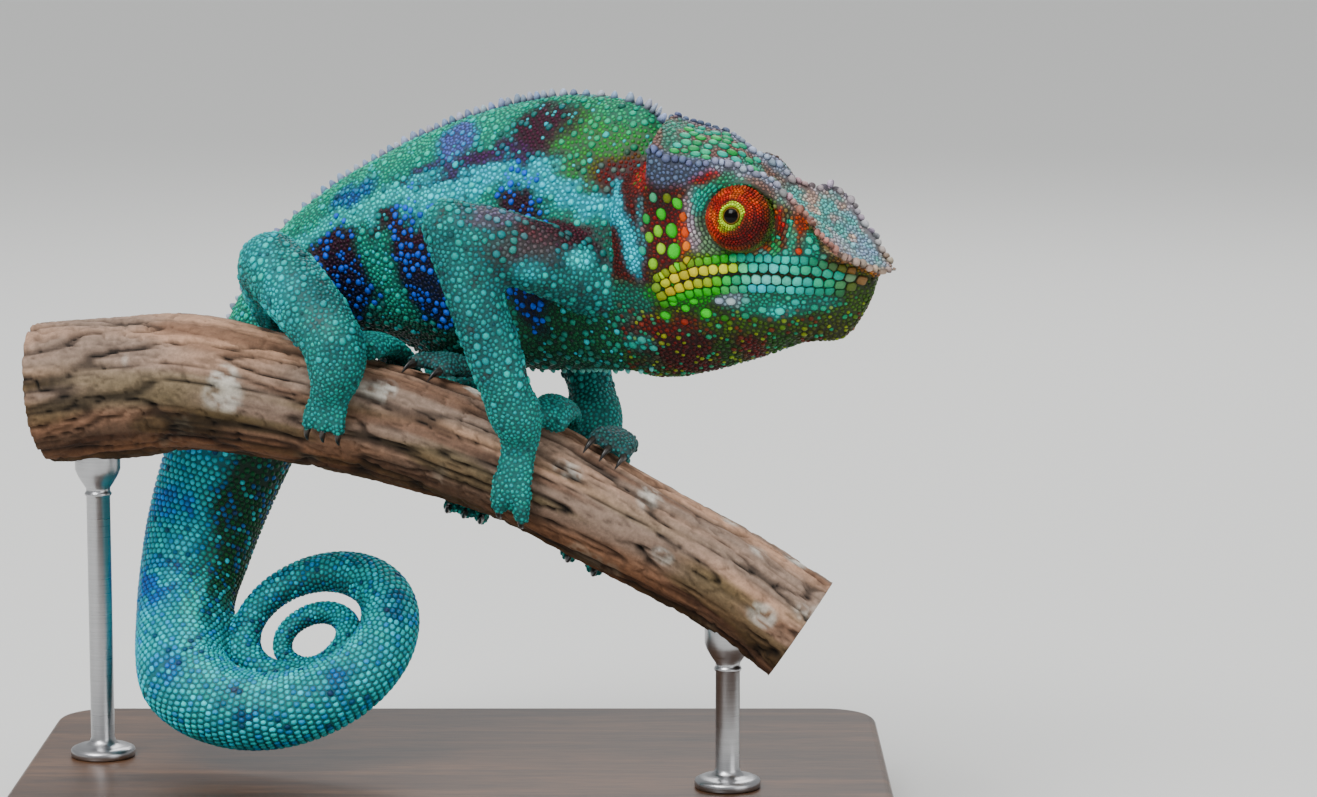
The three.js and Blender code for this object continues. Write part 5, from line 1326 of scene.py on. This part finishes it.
BASE_HALF_X, BASE_HALF_Y, BASE_TOP, CORNER, CORNER_POINTS = 80.0, 48.0, 14.0, 10, 13
corner_turns = np.concatenate([np.linspace(k * pi / 2, (k + 1) * pi / 2, CORNER_POINTS) for k in range(4)])
corner_x = np.repeat([1, -1, -1, 1], CORNER_POINTS) * (BASE_HALF_X - CORNER)
corner_y = np.repeat([1, 1, -1, -1], CORNER_POINTS) * (BASE_HALF_Y - CORNER)
# The edge from below: how far it is drawn in, and its height. It is eased to a small chamfer and a round.
BASE_EDGE = [(1.5, 0.0), (0.45, 0.4), (0.0, 1.5), (0.0, 4.0), (0.0, 9.0), (0.0, 12.5),
             (0.11, 13.07), (0.44, 13.56), (0.93, 13.89), (1.5, BASE_TOP), (4.0, BASE_TOP)]
rings = []
for inset, level in BASE_EDGE:
    reach = CORNER - inset
    rings.append(np.stack([corner_x + reach * np.cos(corner_turns), corner_y + reach * np.sin(corner_turns),
                           np.full(len(corner_turns), level)], -1))
base = make_object("stand_base_wood", np.concatenate(rings), capped(len(rings), len(corner_turns)), walnut, False)
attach(base, "root")
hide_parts("stand_base")

steel, add, shader = new_material("brushed steel", 0.28, 0.5)
brush = add("TexNoise", Vector=add("Mapping", Vector=add("TexCoord").outputs["Object"], Scale=(60, 60, 5200)),
            Scale=1, Detail=4)
set_node(shader, Metallic=1.0, Base_Color=two_tone(add, brush, (0.30, 0.30, 0.31), (0.52, 0.52, 0.53)),
         Roughness=add("MapRange", Value=brush, To_Min=0.2, To_Max=0.42),
         Normal=add("Bump", Strength=0.15, Distance=0.00005, Height=brush))
# A rod's radius at heights: its foot above the base, and its beaded neck and cup above or below the cup's seat.
ROD_AROUND, SEAT_DROP = 64, 5
FOOT = [(5.75, 0.05), (6.0, 0.3), (6.0, 1.2), (5.8, 1.55), (4.9, 1.95), (4.3, 2.05), (3.2, 2.25), (2.5, 2.8),
        (2.2, 3.6)]
CUP = [(2.2, -1.6), (2.35, -1.45), (2.55, -1.1), (2.35, -0.75), (2.2, -0.6), (2.25, 0), (3.0, 1.1), (3.8, 2.5),
       (4.2, 3.6)]
turn = turns(ROD_AROUND)
for x, side_name in ((-66.5, "left"), (50, "right")):
    t = perch_station(x)
    _, y, z = perch_frame(t)[0].ravel()
    radius = perch_radius(t, pi)[0]
    seat, cup_top = z - radius - SEAT_DROP, z - radius * 0.55
    profile = [*((r, BASE_TOP + level) for r, level in FOOT), *((r, seat + level) for r, level in CUP),
               (4.2, cup_top - 0.2), (4.0, cup_top)]
    rings = [np.stack([x + r * np.cos(turn), y + r * np.sin(turn), np.full(ROD_AROUND, level)], -1)
             for r, level in profile]
    rod = make_object(f"stand_rod_{side_name}_turned", np.concatenate(rings), capped(len(rings), ROD_AROUND), steel)
    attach(rod, "root")
    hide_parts(f"stand_rod_{side_name}")
